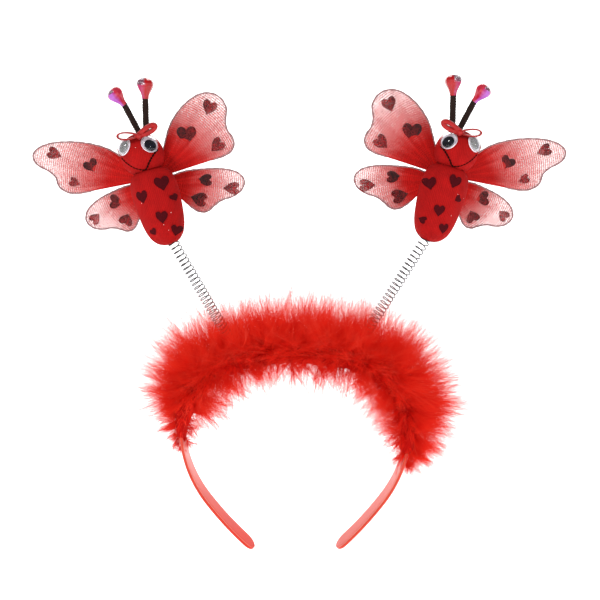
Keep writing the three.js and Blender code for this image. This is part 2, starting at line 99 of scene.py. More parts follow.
def put(name, points, faces, corners=None, flip=False, smooth=True, map_name="Surface"):
    """A mesh object from points in millimetres, arrays of faces and surface coordinates of their corners."""
    order = -1 if flip else 1
    loops = np.concatenate([f[:, ::order].ravel() for f in faces]).astype(np.int32)
    sizes = np.concatenate([np.full(len(f), f.shape[1]) for f in faces])
    starts = np.concatenate([[0], np.cumsum(sizes)[:-1]]).astype(np.int32)
    mesh = bpy.data.meshes.new(name)
    mesh.vertices.add(len(points))
    mesh.vertices.foreach_set("co", (points * MM).astype(np.float32).ravel())
    mesh.loops.add(len(loops))
    mesh.loops.foreach_set("vertex_index", loops)
    mesh.polygons.add(len(sizes))
    mesh.polygons.foreach_set("loop_start", starts)
    mesh.polygons.foreach_set("use_smooth", np.full(len(sizes), smooth))
    if corners is not None:
        values = np.concatenate([c[:, ::order].reshape(-1, 2) for c in corners])
        mesh.uv_layers.new(name=map_name).data.foreach_set("uv", values.astype(np.float32).ravel())
    mesh.update(calc_edges=True)
    mesh.validate()
    made = bpy.data.objects.new(name, mesh)
    bpy.context.scene.collection.objects.link(made)
    return made


def mark(piece, key, values):
    """Store a number on every point of a piece, for its finish to read."""
    stored = piece.data.attributes.new(key, "FLOAT", "POINT")
    stored.data.foreach_set("value", values.astype(np.float32))


def put_grid(name, grid, wrap=True, caps=True, flip=False, smooth=True):
    """A mesh from a grid of points (rows, columns, 3); caps close the first and last rows."""
    rows, columns = grid.shape[:2]
    faces = [grid_faces(rows, columns, wrap)]
    corners = [grid_corners(rows, columns, wrap)]
    if caps:
        ring = np.arange(columns)[None]
        faces += [ring[:, ::-1], ring + (rows - 1) * columns]
        turn = np.linspace(0, 1, columns)[None]
        corners += [np.stack([turn[:, ::-1], 0 * turn], 2), np.stack([turn, 0 * turn + 1], 2)]
    return put(name, grid.reshape(-1, 3), faces, corners, flip, smooth)


def studio_paper():
    """Floor that rises into a wall through a quarter circle: one profile carried sideways."""
    turn = np.linspace(0, math.pi / 2, 24)
    depth = np.concatenate([[-PAPER_HALF], PAPER_BACK + PAPER_BEND * np.sin(turn), [PAPER_BACK + PAPER_BEND]])
    level = np.concatenate([[0], PAPER_BEND * (1 - np.cos(turn)), [PAPER_HALF]]) + PAPER_LEVEL
    across = np.array([PAPER_HALF, -PAPER_HALF])
    grid = np.zeros((len(depth), 2, 3))
    grid[..., 0] = across
    grid[..., 1] = depth[:, None]
    grid[..., 2] = level[:, None]
    return put_grid("studio_paper", grid, wrap=False, caps=False, flip=True)


def lamp(name, place, width, power):
    """A square soft lamp that looks at the middle of the part."""
    data = bpy.data.lights.new(name, "AREA")
    data.size = width * MM
    data.energy = power
    made = bpy.data.objects.new(name, data)
    bpy.context.scene.collection.objects.link(made)
    made.location = np.array(place) * MM
    aim = made.location.copy()
    made.rotation_euler = aim.to_track_quat("Z", "Y").to_euler()
    return made


scene = bpy.context.scene
camera = bpy.data.objects.new("camera", bpy.data.cameras.new("camera"))
scene.collection.objects.link(camera)
back = np.array([0, -math.cos(VIEW_ELEVATION), math.sin(VIEW_ELEVATION)])
camera.location = (VIEW_TARGET + VIEW_DISTANCE * back) * MM
camera.rotation_euler = (math.pi / 2 - VIEW_ELEVATION, 0, 0)
camera.data.lens = VIEW_LENS
camera.data.sensor_width = 36
camera.data.clip_start = 0.01
scene.camera = camera
scene.view_settings.view_transform = "Standard"
paper = studio_paper()
lamps = [lamp(*row) for row in LAMPS]
print("studio:", len(lamps), "lamps")

# %% [markdown]
# ## Shader helpers
# Each finish is a small tree of nodes. One helper adds a node and fills or links its sockets, so that a
# material reads like a list of steps. Colours are written as they look on screen and turned to linear
# light, because that is what the shader works in.

# %% Shader helpers


def screen(red, green, blue):
    """Linear colour of a screen colour from 0 to 255: the sRGB curve undone."""
    share = np.array([red, green, blue]) / 255
    linear = np.where(share <= 0.04045, share / 12.92, ((share + 0.055) / 1.055) ** 2.4)
    return (*linear.tolist(), 1)


def add(tree, kind, inputs=None, **settings):
    """One node of a tree: settings are its own values, inputs its sockets' values or what feeds them."""
    made = tree.nodes.new(kind)
    for key, value in settings.items():
        setattr(made, key, value)
    for key, value in (inputs or {}).items():
        if isinstance(value, bpy.types.NodeSocket):
            tree.links.new(value, made.inputs[key])
        else:
            made.inputs[key].default_value = value
    return made


def maths(tree, operation, first, second=0.0, clamp=False):
    """Result of one sum on two values."""
    return add(tree, "ShaderNodeMath", {0: first, 1: second}, operation=operation, use_clamp=clamp).outputs[0]


def blended(tree, share, first, second):
    """Colour that goes from the first to the second as the share goes from 0 to 1."""
    made = add(tree, "ShaderNodeMix", {0: share, 6: first, 7: second}, data_type="RGBA")
    return made.outputs[2]


def between(tree, value, low, high, start=0.0, end=1.0):
    """Value moved from the range low to high into start to end, and held there."""
    sockets = {"Value": value, "From Min": low, "From Max": high, "To Min": start, "To Max": end}
    return add(tree, "ShaderNodeMapRange", sockets).outputs["Result"]


def new_finish(name, **sockets):
    """A material with its Principled shader; sockets are constants, with _ for a space in a name."""
    material = bpy.data.materials.new(name)
    material.use_nodes = True
    shader = material.node_tree.nodes["Principled BSDF"]
    for key, value in sockets.items():
        shader.inputs[key.replace("_", " ")].default_value = value
    return material, material.node_tree, shader


def feed(tree, shader, **sockets):
    """Link values to the shader's sockets, with _ for a space in a name."""
    for key, value in sockets.items():
        tree.links.new(value, shader.inputs[key.replace("_", " ")])


def bumped(tree, height, depth):
    """Normal of a surface whose height is given from 0 to 1 and is depth millimetres deep."""
    return add(tree, "ShaderNodeBump", {"Height": height, "Distance": depth * MM}).outputs["Normal"]


def surface_map(tree):
    """The piece's own surface map as a vector."""
    return add(tree, "ShaderNodeUVMap", uv_map="Surface").outputs[0]


def surface_axes(tree):
    """Across and along coordinates of a piece's own surface map."""
    split = add(tree, "ShaderNodeSeparateXYZ", {0: surface_map(tree)})
    return split.outputs[0], split.outputs[1]


def painted(piece, material):
    """Give a piece one material."""
    piece.data.materials.clear()
    piece.data.materials.append(material)
    return piece


paper_finish, tree, shader = new_finish("studio paper", Roughness=0.9)
shader.inputs["Base Color"].default_value = screen(250, 250, 250)
shader.inputs["Emission Color"].default_value = screen(255, 255, 255)
shader.inputs["Emission Strength"].default_value = 0.8
painted(paper, paper_finish)
world = bpy.data.worlds.new("white tent")
world.use_nodes = True
world.node_tree.nodes["Background"].inputs["Color"].default_value = (1, 1, 1, 1)
world.node_tree.nodes["Background"].inputs["Strength"].default_value = 0.3
scene.world = world
print("studio painted")

# %% [markdown]
# ## Shared effects
# Several finishes need the same small irregularities: a soft mottle, bright glitter flakes, and the ribs
# of fine knitting. Each is a node group with named inputs, built once and placed where it is needed with
# its own values. A group only puts out values; the shader itself stays in each material.

# %% Node groups


def new_group(name, inputs, outputs):
    """An empty node group with number inputs (name: value), a Vector input and number outputs."""
    tree = bpy.data.node_groups.new(name, "ShaderNodeTree")
    tree.interface.new_socket("Vector", in_out="INPUT", socket_type="NodeSocketVector")
    for key, value in inputs.items():
        socket = tree.interface.new_socket(key, in_out="INPUT", socket_type="NodeSocketFloat")
        socket.default_value = value
    for key in outputs:
        tree.interface.new_socket(key, in_out="OUTPUT", socket_type="NodeSocketFloat")
    start = tree.nodes.new("NodeGroupInput")
    end = tree.nodes.new("NodeGroupOutput")
    return tree, start.outputs, end.inputs


def mottle_group():
    """Broad and fine noise, mixed: the uneven dye and nap of small cloth pieces."""
    tree, given, result = new_group("Mottle", {"Size": 4.0}, ["Broad", "Fine"])
    scale = maths(tree, "DIVIDE", 1 / MM, given["Size"])
    broad = add(tree, "ShaderNodeTexNoise", {"Vector": given["Vector"], "Scale": scale, "Detail": 2.0})
    finer = maths(tree, "MULTIPLY", scale, 6.5)
    fine = add(tree, "ShaderNodeTexNoise", {"Vector": given["Vector"], "Scale": finer, "Detail": 3.0})
    tree.links.new(broad.outputs[0], result["Broad"])
    tree.links.new(fine.outputs[0], result["Fine"])
    return tree


def glitter_group():
    """Scattered flakes: cells of a random pattern, each with a tone; Flake is 1 inside the chosen ones."""
    tree, given, result = new_group("Glitter", {"Size": 0.5, "Share": 0.1}, ["Flake", "Tone"])
    scale = maths(tree, "DIVIDE", 1 / MM, given["Size"])
    cells = add(tree, "ShaderNodeTexVoronoi", {"Vector": given["Vector"], "Scale": scale})
    tone = add(tree, "ShaderNodeSeparateXYZ", {0: cells.outputs["Color"]})
    chosen = maths(tree, "LESS_THAN", tone.outputs[0], given["Share"])
    near = maths(tree, "LESS_THAN", cells.outputs["Distance"], 0.42)
    tree.links.new(maths(tree, "MULTIPLY", chosen, near), result["Flake"])
    tree.links.new(tone.outputs[1], result["Tone"])
    return tree


def ribs_group():
    """Wales of fine knitting: a sine across, broken by shorter waves along, as loops are."""
    tree, given, result = new_group("Ribs", {"Across": 60.0, "Along": 60.0}, ["Height"])
    split = add(tree, "ShaderNodeSeparateXYZ", {0: given["Vector"]})
    turn = maths(tree, "MULTIPLY", maths(tree, "MULTIPLY", split.outputs[0], given["Across"]), math.tau)
    step = maths(tree, "MULTIPLY", maths(tree, "MULTIPLY", split.outputs[1], given["Along"]), math.tau)
    wale = maths(tree, "MULTIPLY", maths(tree, "SINE", turn), 0.35)
    loop = maths(tree, "MULTIPLY", maths(tree, "SINE", maths(tree, "ADD", step, turn)), 0.15)
    tree.links.new(maths(tree, "ADD", maths(tree, "ADD", wale, loop), 0.5), result["Height"])
    return tree


MOTTLE = mottle_group()
GLITTER = glitter_group()
RIBS = ribs_group()


def placed(tree, group, vector, **values):
    """A shared group placed in a material, with its own values."""
    made = add(tree, "ShaderNodeGroup", node_tree=group)
    tree.links.new(vector, made.inputs["Vector"])
    for key, value in values.items():
        made.inputs[key].default_value = value
    return made.outputs


def object_place(tree):
    """Object coordinates, which are the part's own frame."""
    return add(tree, "ShaderNodeTexCoord").outputs["Object"]


print("groups:", [g.name for g in (MOTTLE, GLITTER, RIBS)])

# %% [markdown]
# ## The hair band
# The band is one strip of glossy coral plastic, bent to the head and rounded at its two tips. It could be
# a curve with a bevel, but then the tips need extra work. Here the section, a rounded rectangle, is
# carried along a line of four arcs, and its width shrinks like a half circle at each tip.

# %% Band line and strip
BAND_WIDTH = 14
BAND_THICKNESS = 2.2
BAND_ARCS = ((130, 16.9), (43, 73.1), (76.7, 35.6), (208, 11.7))
CORNER_SHARE = 0.14
TIP_LENGTH = 7
TIP_TURN = math.radians(87)
BAND_REACH = sum(radius * math.radians(sweep) for radius, sweep in BAND_ARCS)
STRIP_CORNERS = 36
STRIP_ROWS = 181
STRIP_SQUARENESS = 4.5
DEPTH = np.array([0, 1.0, 0])


def band_at(distance):
    """Outer face and outward direction at signed distances from the crown: arcs laid end to end."""
    side = np.where(distance < 0, -1.0, 1.0)
    left = np.abs(distance)
    heading = np.zeros_like(left)
    across, high = np.zeros_like(left), np.full_like(left, BAND_THICKNESS)
    for radius, sweep in BAND_ARCS:
        turn = np.clip(left / radius, 0, math.radians(sweep))
        across = across + radius * (np.sin(heading + turn) - np.sin(heading))
        high = high + radius * (np.cos(heading + turn) - np.cos(heading))
        heading = heading + turn
        left = left - turn * radius
    spot = np.stack([side * across, 0 * across, high], -1)
    return spot, np.stack([side * np.sin(heading), 0 * across, np.cos(heading)], -1)


def rounded(turn, power):
    """Cosine and sine of a superellipse: the higher the power, the squarer the corner."""
    cosine, sine = np.cos(turn), np.sin(turn)
    return (np.sign(cosine) * np.abs(cosine) ** (2 / power), np.sign(sine) * np.abs(sine) ** (2 / power))


def make_band():
    """Rounded rectangle carried along the band; at the tips its width follows a half circle."""
    straight = BAND_REACH - TIP_LENGTH
    turn = np.linspace(0, TIP_TURN, 14)[1:]
    one_tip = straight + TIP_LENGTH * np.sin(turn)
    distance = np.concatenate([-one_tip[::-1], np.linspace(-straight, straight, STRIP_ROWS), one_tip])
    shrink = np.concatenate([np.cos(turn)[::-1], np.ones(STRIP_ROWS), np.cos(turn)])
    spot, out = band_at(distance)
    around = np.linspace(0, math.tau, STRIP_CORNERS, endpoint=False)
    wide, high = rounded(around, STRIP_SQUARENESS)
    thin = 0.45 + 0.55 * shrink ** 0.5
    across = 0.5 * BAND_WIDTH * shrink[:, None] * wide
    lift = 0.5 * BAND_THICKNESS * (thin[:, None] * high - 1)
    grid = spot[:, None] + across[..., None] * DEPTH + lift[..., None] * out[:, None]
    return put_grid("band_strip", grid)


def plastic_finish():
    """Glossy coral plastic, in which the mould leaves faint waves. Towards the ends, most at the left one,
    the colour is painted more saturated as a painted loss of reflection, and the plastic is rougher with less
    coat; a pale line along its inner corners is a painted highlight."""
    material, tree, shader = new_finish("coral plastic", Specular_IOR_Level=0.3, Coat_Roughness=0.06)
    mottle = placed(tree, MOTTLE, object_place(tree), Size=14.0)
    around, _ = surface_axes(tree)
    aside, _, high = add(tree, "ShaderNodeSeparateXYZ", {0: object_place(tree)}).outputs
    # Painted reflection: towards the lower ends, most at the left, the colour is painted more saturated, as
    # if less light were reflected there; the same share makes the plastic rougher and less coated.
    painted_reflection_loss = maths(tree, "MULTIPLY", between(tree, high, -112 * MM, -62 * MM, 1.0, 0.0),
                 between(tree, aside, -20 * MM, 20 * MM, 0.95, 0.1))
    reflecting_coral = blended(tree, mottle["Broad"], screen(202, 54, 30), screen(218, 70, 44))
    unreflecting_coral = blended(tree, mottle["Broad"], screen(212, 44, 22), screen(226, 56, 32))
    # Painted highlight: a pale line along the inner corner of the section.
    turn = maths(tree, "ABSOLUTE", maths(tree, "SUBTRACT", around, 0.75))
    corner = between(tree, maths(tree, "ABSOLUTE", maths(tree, "SUBTRACT", turn, CORNER_SHARE)),
                     0.004, 0.016, 0.8, 0.0)
    colour = blended(tree, corner, blended(tree, painted_reflection_loss, reflecting_coral, unreflecting_coral), screen(255, 176, 150))
    feed(tree, shader, Base_Color=colour, Roughness=between(tree, painted_reflection_loss, 0.0, 1.0, 0.3, 0.55),
         Coat_Weight=between(tree, painted_reflection_loss, 0.0, 1.0, 0.2, 0.02), Normal=bumped(tree, mottle["Broad"], 0.08))
    return material


PLASTIC = plastic_finish()
band = painted(make_band(), PLASTIC)
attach(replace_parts(band, "band"), "band")
print("band:", len(band.data.polygons), "faces")

# %% [markdown]
# ## Springs and their posts
# Each bug stands on a soft coil of bright wire that is pushed over a short post on the band. A screw
# modifier could turn a circle into a coil, but it can't change the pitch. As a formula the coil is a
# circle carried along a helix whose turns are closer at the foot. The coil bends at two places, so it is
# two pieces that meet: the lower one runs from the band to the stalk, the upper one from the stalk to the
# bug.

# %% Springs
SPRING_FOOT = 32.7
SPRING_LEAN = {-1: math.radians(29.2), 1: math.radians(31.6)}
SPRING_START = 1.3
SPRING_LENGTH = {-1: 76.6, 1: 80.6}
SPRING_RADIUS = 3.05
SPRING_TURNS = 33
SPRING_TIGHTNESS = 0.8
WIRE_RADIUS = 0.33
COIL_SLANT = 0.3
COIL_STEPS = 22
WIRE_SIDES = 7
SPRING_SPLIT = 0.46
NOD_SPAN = (0.04, 0.46)
SWAY_SPAN = (0.46, 0.74)
POST_RADIUS = 2
POST_HEIGHT = 7


def unit(vectors):
    """Vectors shortened or lengthened to one."""
    return vectors / np.linalg.norm(vectors, axis=-1, keepdims=True)


def swept(path, up, section):
    """Carry a section (rows or one row of across and high) along a path, kept upright to a direction."""
    ahead = unit(np.gradient(path, axis=0))
    side = unit(np.cross(ahead, up))
    high = np.cross(side, ahead)
    return path[:, None] + section[..., 0:1] * side[:, None] + section[..., 1:2] * high[:, None]


def ring(sides, radius=1.0):
    """Corners of a circle, counter-clockwise."""
    turn = np.linspace(0, math.tau, sides, endpoint=False)
    return radius * np.stack([np.cos(turn), np.sin(turn)], -1)


def spring_line(side):
    """Foot of a spring on the band and the way it points."""
    spot, _ = band_at(np.array([side * SPRING_FOOT]))
    lean = SPRING_LEAN[side]
    return spot[0], np.array([side * math.sin(lean), 0, math.cos(lean)])


def coil(side, first, last):
    """Helix between two shares of the spring's turns: height grows a little faster than the turn, and the
    turns hang a little lower in front, as those of a soft spring do."""
    foot, along = spring_line(side)
    steps = int((last - first) * SPRING_TURNS * COIL_STEPS)
    share = np.linspace(first, last, steps + 1)
    height = SPRING_LENGTH[side] * (SPRING_TIGHTNESS * share + (1 - SPRING_TIGHTNESS) * share ** 2)
    turn = math.tau * SPRING_TURNS * share
    across = np.cross(DEPTH, along)
    outward = np.cos(turn)[:, None] * across + np.sin(turn)[:, None] * DEPTH
    level = SPRING_START + height + COIL_SLANT * SPRING_RADIUS * np.sin(turn)
    path = foot + level[:, None] * along + SPRING_RADIUS * outward
    return swept(path, outward, ring(WIRE_SIDES, WIRE_RADIUS))


def steel_finish():
    """Plated wire with faint drawing marks in its roughness; its colour is painted dark grey with lighter
    patches, as painted reflections.
    """
    material, tree, shader = new_finish("spring wire", Metallic=1.0, Roughness=0.22)
    mottle = placed(tree, MOTTLE, object_place(tree), Size=1.2)
    # Painted reflection: the metal's colour is dark grey with lighter patches.
    colour = blended(tree, mottle["Broad"], screen(46, 45, 48), screen(118, 116, 118))
    rough = between(tree, mottle["Fine"], 0.3, 0.7, 0.16, 0.34)
    feed(tree, shader, Base_Color=colour, Roughness=rough)
    return material


def make_post(side, name):
    """Post under a coil: a straight pin with a rounded top, turned about the spring's axis."""
    foot, along = spring_line(side)
    radius = POST_RADIUS * np.array([1, 1, 1, 0.92, 0.7, 0.35, 0.01])
    height = np.array([-0.8 - POST_HEIGHT, 2 - POST_HEIGHT, -1, -0.45, -0.15, 0, 0]) + POST_HEIGHT
    return put_grid(f"{name}_post", turned_about(foot, along, radius, height, 24))


def turned_about(foot, axis, radius, height, sides):
    """Turned solid: radii and heights along an axis from a foot, carried round it."""
    first = unit(np.cross(axis, DEPTH if abs(axis[1]) < 0.9 else np.array([0, 0, 1.0])))
    second = np.cross(axis, first)
    corners = ring(sides)
    outward = corners[:, :1] * first + corners[:, 1:] * second
    return foot + radius[:, None, None] * outward[None] + height[:, None, None] * axis


STEEL = steel_finish()
looseness = 1 - SPRING_TIGHTNESS
split_turn = math.sqrt(SPRING_TIGHTNESS ** 2 + 4 * looseness * SPRING_SPLIT) - SPRING_TIGHTNESS
split_turn /= 2 * looseness
for name, side in SIDES.items():
    post = painted(make_post(side, name), PLASTIC)
    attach(post, "band")
    lower = painted(put_grid(f"{name}_spring_lower", coil(side, 0, split_turn)), STEEL)
    upper = painted(put_grid(f"{name}_spring_upper", coil(side, split_turn, 1)), STEEL)
    for piece, bodies, span in ((lower, ("band", f"{name}_stalk"), NOD_SPAN),
                                (upper, (f"{name}_stalk", f"{name}_bug"), SWAY_SPAN)):
        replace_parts(piece, f"{name}_spring")
        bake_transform(piece)
print("springs:", SPRING_TURNS, "turns each")

# %% [markdown]
# ## Marabou down
# Marabou is a cord of soft young feathers. Each plume is a short quill with dozens of fine barbs that
# spread and curl outwards, so from afar it is a glowing red cloud with wispy edges. A hair system would
# do, but a mesh of real barbs can be kept and exported. Each barb is a thin three-sided spike: two
# small triangles stand along a curve and close in a point. All barbs are computed at once as arrays.

# %% Down: core and barbs
DOWN_SECTIONS = np.array([
    # distance from the crown, reach outwards, reach inwards
    (-108, 8, 8), (-95, 15, 18), (-84, 22, 31), (-76, 34, 38), (-70, 45, 39), (-60, 49, 39), (-45, 45, 35),
    (-32, 42, 34), (0, 44, 33), (32, 45, 33), (45, 48, 34), (62, 51, 36), (75, 49, 36), (84, 43, 35),
    (103, 27, 24), (118, 14, 12),
])
DOWN_FLATNESS = 0.3
DOWN_DEPTH = 41.5
CORE_SHARE = 0.22
CORE_WIDTH = 7.7
CORE_HEIGHT = 2.6
CORE_MARGIN = 6
CORE_ROWS = 150
CORE_TAPER = 4
PLUME_COUNT = 2000
WISPS = 4
BARBS = 9
DOWN_PIECES = 4
GOLDEN = 0.618034
OUTWARD_BIAS = 0.55
INNER_LOSS = (0.46, 0.28)
INNER_LOSS_AT = (35, 65)
QUILL_ROOT = 2.2
WISP_SPREAD = (3, 42)
BARB_RADII = np.array([0.056, 0.044])


def down_reach(distance, angle):
    """Reach of the down at a distance along the band and an angle round it: 0 outward, pi inward. It is
    less to the front and the back, where the down is pressed flat in its box."""
    at, outward, inward = DOWN_SECTIONS.T
    low, high = np.interp(distance, at, inward), np.interp(distance, at, outward)
    return (low + (high - low) * (1 + np.cos(angle)) / 2) * (1 - DOWN_FLATNESS * np.sin(angle) ** 2)


def down_frame(distance):
    """Middle of the strip, the outward direction and the way along, at distances from the crown."""
    spot, out = band_at(distance)
    return spot - 0.5 * BAND_THICKNESS * out, out, np.cross(DEPTH, out)


def make_core():
    """Skin round the strip at a share of the reach, lumpy like felted fluff, flat where the down is thin."""
    first, last = DOWN_SECTIONS[[0, -1], 0] + np.array([CORE_MARGIN, -CORE_MARGIN])
    distance = np.linspace(first, last, CORE_ROWS)
    angle = np.linspace(0, math.tau, 48, endpoint=False)
    centre, out, _ = down_frame(distance)
    far = distance[:, None]
    lumps = 1 + 0.12 * np.sin(0.5 * far + 3 * angle) * np.cos(0.31 * far - 2 * angle)
    reach = CORE_SHARE * down_reach(far, 0.7 * angle[None]) * lumps
    full = distance[[0, CORE_TAPER, -1 - CORE_TAPER, -1]]
    taper = np.interp(distance, full, [0.5, 1, 1, 0.5])[:, None]
    high = taper * np.maximum(CORE_HEIGHT, reach) * np.cos(angle)
    wide = taper * np.maximum(CORE_WIDTH, reach) * np.sin(angle)
    grid = centre[:, None] + high[..., None] * out[:, None] + wide[..., None] * DEPTH
    return put_grid("marabou_core", grid, flip=True)


def plumes(count):
    """Quills: roots on the strip, directions away from it that lean in drifts, and their reach. A share of
    those that would point inwards, largest near the crown, is turned outwards."""
    at = DOWN_SECTIONS[:, 0]
    fine = np.linspace(at[0] + 3, at[-1] - 3, 600)
    weight = np.cumsum(down_reach(fine, 1.0) ** 1.2)
    distance = np.interp((np.arange(count) + rng.random(count)) / count, weight / weight[-1], fine)
    angle = math.tau * ((np.arange(count) * GOLDEN + rng.random()) % 1) - math.pi + rng.normal(0, 0.2, count)
    angle -= OUTWARD_BIAS * np.sin(angle)
    loss = np.interp(np.abs(distance), INNER_LOSS_AT, INNER_LOSS)
    turned = (np.cos(angle) < 0) & (rng.random(count) < loss)
    angle = np.where(turned, math.pi - angle, angle)
    centre, out, ahead = down_frame(distance)
    radial = np.cos(angle)[:, None] * out + np.sin(angle)[:, None] * DEPTH
    drift = 0.3 * np.sin(0.27 * distance + 1.3 * angle) + 0.24 * np.sin(0.1 * distance - 2.1 * angle)
    ends = np.interp(distance, at[[0, 2, -3, -1]], [-1.3, 0, 0, 1.1])
    lean = drift + ends + rng.normal(0, 0.18, count)
    quill = unit(radial + lean[:, None] * ahead + rng.normal(0, 0.1, (count, 3)))
    uneven = rng.uniform(0.84, 1.1, count) * (1 + 0.1 * np.sin(0.33 * distance - angle))
    return centre + QUILL_ROOT * radial, quill, down_reach(distance, angle) * uneven


def barbs(root, quill, reach):
    """Curves of the barbs: a start on the quill, an end near the tip of a wisp, and a bowed middle."""
    count = len(root)
    away = unit(np.cross(quill[:, None], rng.normal(0, 1, (count, WISPS, 3))))
    spread = np.tan(np.radians(rng.uniform(*WISP_SPREAD, (count, WISPS, 1))))
    far = reach[:, None, None] * (0.46 + 0.7 * rng.random((count, WISPS, 1)) ** 1.2)
    tip = root[:, None] + far * unit(quill[:, None] + spread * away)
    many = (count, WISPS, BARBS, 1)
    long = np.broadcast_to(reach[:, None, None, None], many)
    start = root[:, None, None] + 0.22 * long * rng.random(many) * quill[:, None, None]
    end = start + (tip[:, :, None] - start) * (rng.uniform(0.55, 1.04, many) + 0.35 * rng.random(many) ** 9)
    end = end + rng.normal(0, 0.042, (*many[:3], 3)) * long
    end[..., 1] = np.clip(end[..., 1], -DOWN_DEPTH, DOWN_DEPTH)
    middle = 0.5 * (start + end) + 0.05 * long * (rng.uniform(0.2, 1, many) * away[:, :, None])
    middle = middle + 0.03 * long * rng.normal(0, 1, (*many[:3], 3))
    line = np.stack([start, middle, end], 3).reshape(-1, 3, 3)
    return line, np.repeat(root, WISPS * BARBS, 0), np.repeat(reach, WISPS * BARBS)


BARB_QUADS = np.array([[k, (k + 1) % 3, 3 + (k + 1) % 3, 3 + k] for k in range(3)])
BARB_TIPS = np.array([[3 + k, 3 + (k + 1) % 3, 6] for k in range(3)])
BARB_FOOT = np.array([[2, 1, 0]])
QUAD_CELL = np.array([[(k / 3, 0), ((k + 1) / 3, 0), ((k + 1) / 3, 0.5), (k / 3, 0.5)] for k in range(3)])
TIP_CELL = np.array([[(k / 3, 0.5), ((k + 1) / 3, 0.5), ((k + 0.5) / 3, 0.96)] for k in range(3)])
FOOT_CELL = np.array([[(0.6, 0.98), (0.3, 0.98), (0.45, 1)]])


def barb_cells(count, template):
    """Surface coordinates of barbs laid out in a square of cells, so that no two share a place."""
    cells = math.ceil(math.sqrt(count))
    cell = np.stack([np.arange(count) % cells, np.arange(count) // cells], -1)[:, None, None]
    return ((cell + 0.08 + 0.84 * template[None]) / cells).reshape(-1, *template.shape[1:])


def make_barbs(name, line, root, reach):
    """Mesh of many barbs: two rings of three corners along each curve, closed by a tip and a foot."""
    count = len(root)
    ahead = unit(np.gradient(line, axis=1))[:, :2]
    side = unit(np.cross(ahead, np.array([0.3, 0.9, 0.2])))
    high = np.cross(side, ahead)
    corner = ring(3)[None, None]
    spread = corner[..., :1] * side[:, :, None] + corner[..., 1:] * high[:, :, None]
    rings = line[:, :2, None] + BARB_RADII[None, :, None, None] * spread
    points = np.concatenate([rings.reshape(count, 6, 3), line[:, 2:]], 1)
    offset = 7 * np.arange(count)[:, None, None]
    faces = [(offset + kind[None]).reshape(-1, kind.shape[1]) for kind in (BARB_QUADS, BARB_TIPS, BARB_FOOT)]
    corners = [barb_cells(count, kind) for kind in (QUAD_CELL, TIP_CELL, FOOT_CELL)]
    made = put(name, points.reshape(-1, 3), faces, corners, map_name="OFBake")
    depth = np.linalg.norm(points - root[:, None], axis=-1) / reach[:, None]
    tint = 0.75 * np.repeat(rng.random(count // BARBS), BARBS) + 0.25 * rng.random(count)
    mark(made, "depth", depth.ravel())
    mark(made, "tint", np.repeat(tint, points.shape[1]))
    return made


def attribute(tree, key):
    """A number that is stored on the points of a mesh."""
    return add(tree, "ShaderNodeAttribute", attribute_name=key).outputs["Fac"]


def down_finish():
    """Red down, painted deep red near the cord as shade inside the fluff and brighter towards the tips as
    light passing through them, each barb its own tint; a faint glow stands for the light that passes
    through the barbs."""
    material, tree, shader = new_finish(
        "marabou down", Roughness=0.8, Specular_IOR_Level=0.1, Emission_Strength=0.13,
    )
    depth, tint = attribute(tree, "depth"), attribute(tree, "tint")
    # Painted shade near the cord and painted light towards the tips, by each point's distance from its
    # quill's root.
    deep = blended(tree, tint, screen(208, 10, 7), screen(242, 28, 18))
    middle = blended(tree, tint, screen(232, 28, 15), screen(255, 66, 42))
    light = blended(tree, tint, screen(246, 58, 38), screen(255, 138, 116))
    inner = blended(tree, between(tree, depth, 0.2, 0.6), deep, middle)
    colour = blended(tree, between(tree, depth, 0.7, 1.15), inner, light)
    feed(tree, shader, Base_Color=colour, Emission_Color=colour)
    return material


def core_finish():
    """Felted inner fluff, painted a darker red than the barbs as the shade deep inside the down, with fine
    noise.
    """
    material, tree, shader = new_finish("felted fluff", Roughness=0.95, Specular_IOR_Level=0.1)
    mottle = placed(tree, MOTTLE, object_place(tree), Size=2.0)
    # Painted shade: the inner fluff is darker than the barbs.
    colour = blended(tree, mottle["Fine"], screen(164, 8, 6), screen(214, 22, 16))
    feed(tree, shader, Base_Color=colour, Normal=bumped(tree, mottle["Fine"], 0.6))
    return material


core = painted(make_core(), core_finish())
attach(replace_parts(core, "marabou"), "band")
DOWN = down_finish()
for number in range(DOWN_PIECES):
    curves = barbs(*plumes(PLUME_COUNT // DOWN_PIECES))
    piece = painted(make_barbs(f"marabou_barbs_{number + 1}", *curves), DOWN)
    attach(piece, "band")
print("down:", PLUME_COUNT * WISPS * BARBS, "barbs")

# %% [markdown]
# ## The bug's own frame
# The two bugs are mirror images, on springs that are pulled out a little differently. It is easiest to
# shape one bug upright, with the first axis pointing to the middle of the hair band, and to place it
# twice. The right one is mirrored on the way, which turns faces inside out, so its faces are written in
# the opposite order.

# %% Placing helpers
BUG_X = {-1: 73.3, 1: 78.1}
BUG_Z = {-1: 63.5, 1: 65.3}
BUG_LEAN = math.radians(14)
HEAD_HEIGHT = 52.3
HEAD_ROLL = math.radians(8)
HEAD_TURN = math.radians(2.5)


def on_bug(points, side):
    """Points of the upright bug, mirrored for the right one, leaned outwards and set on its spring."""
    aside, depth, high = -side * points[..., 0], points[..., 1], points[..., 2]
    lean = side * BUG_LEAN
    turned = [aside * math.cos(lean) + high * math.sin(lean), depth,
              high * math.cos(lean) - aside * math.sin(lean)]
    return np.stack(turned, -1) + np.array([side * BUG_X[side], 0, BUG_Z[side]])


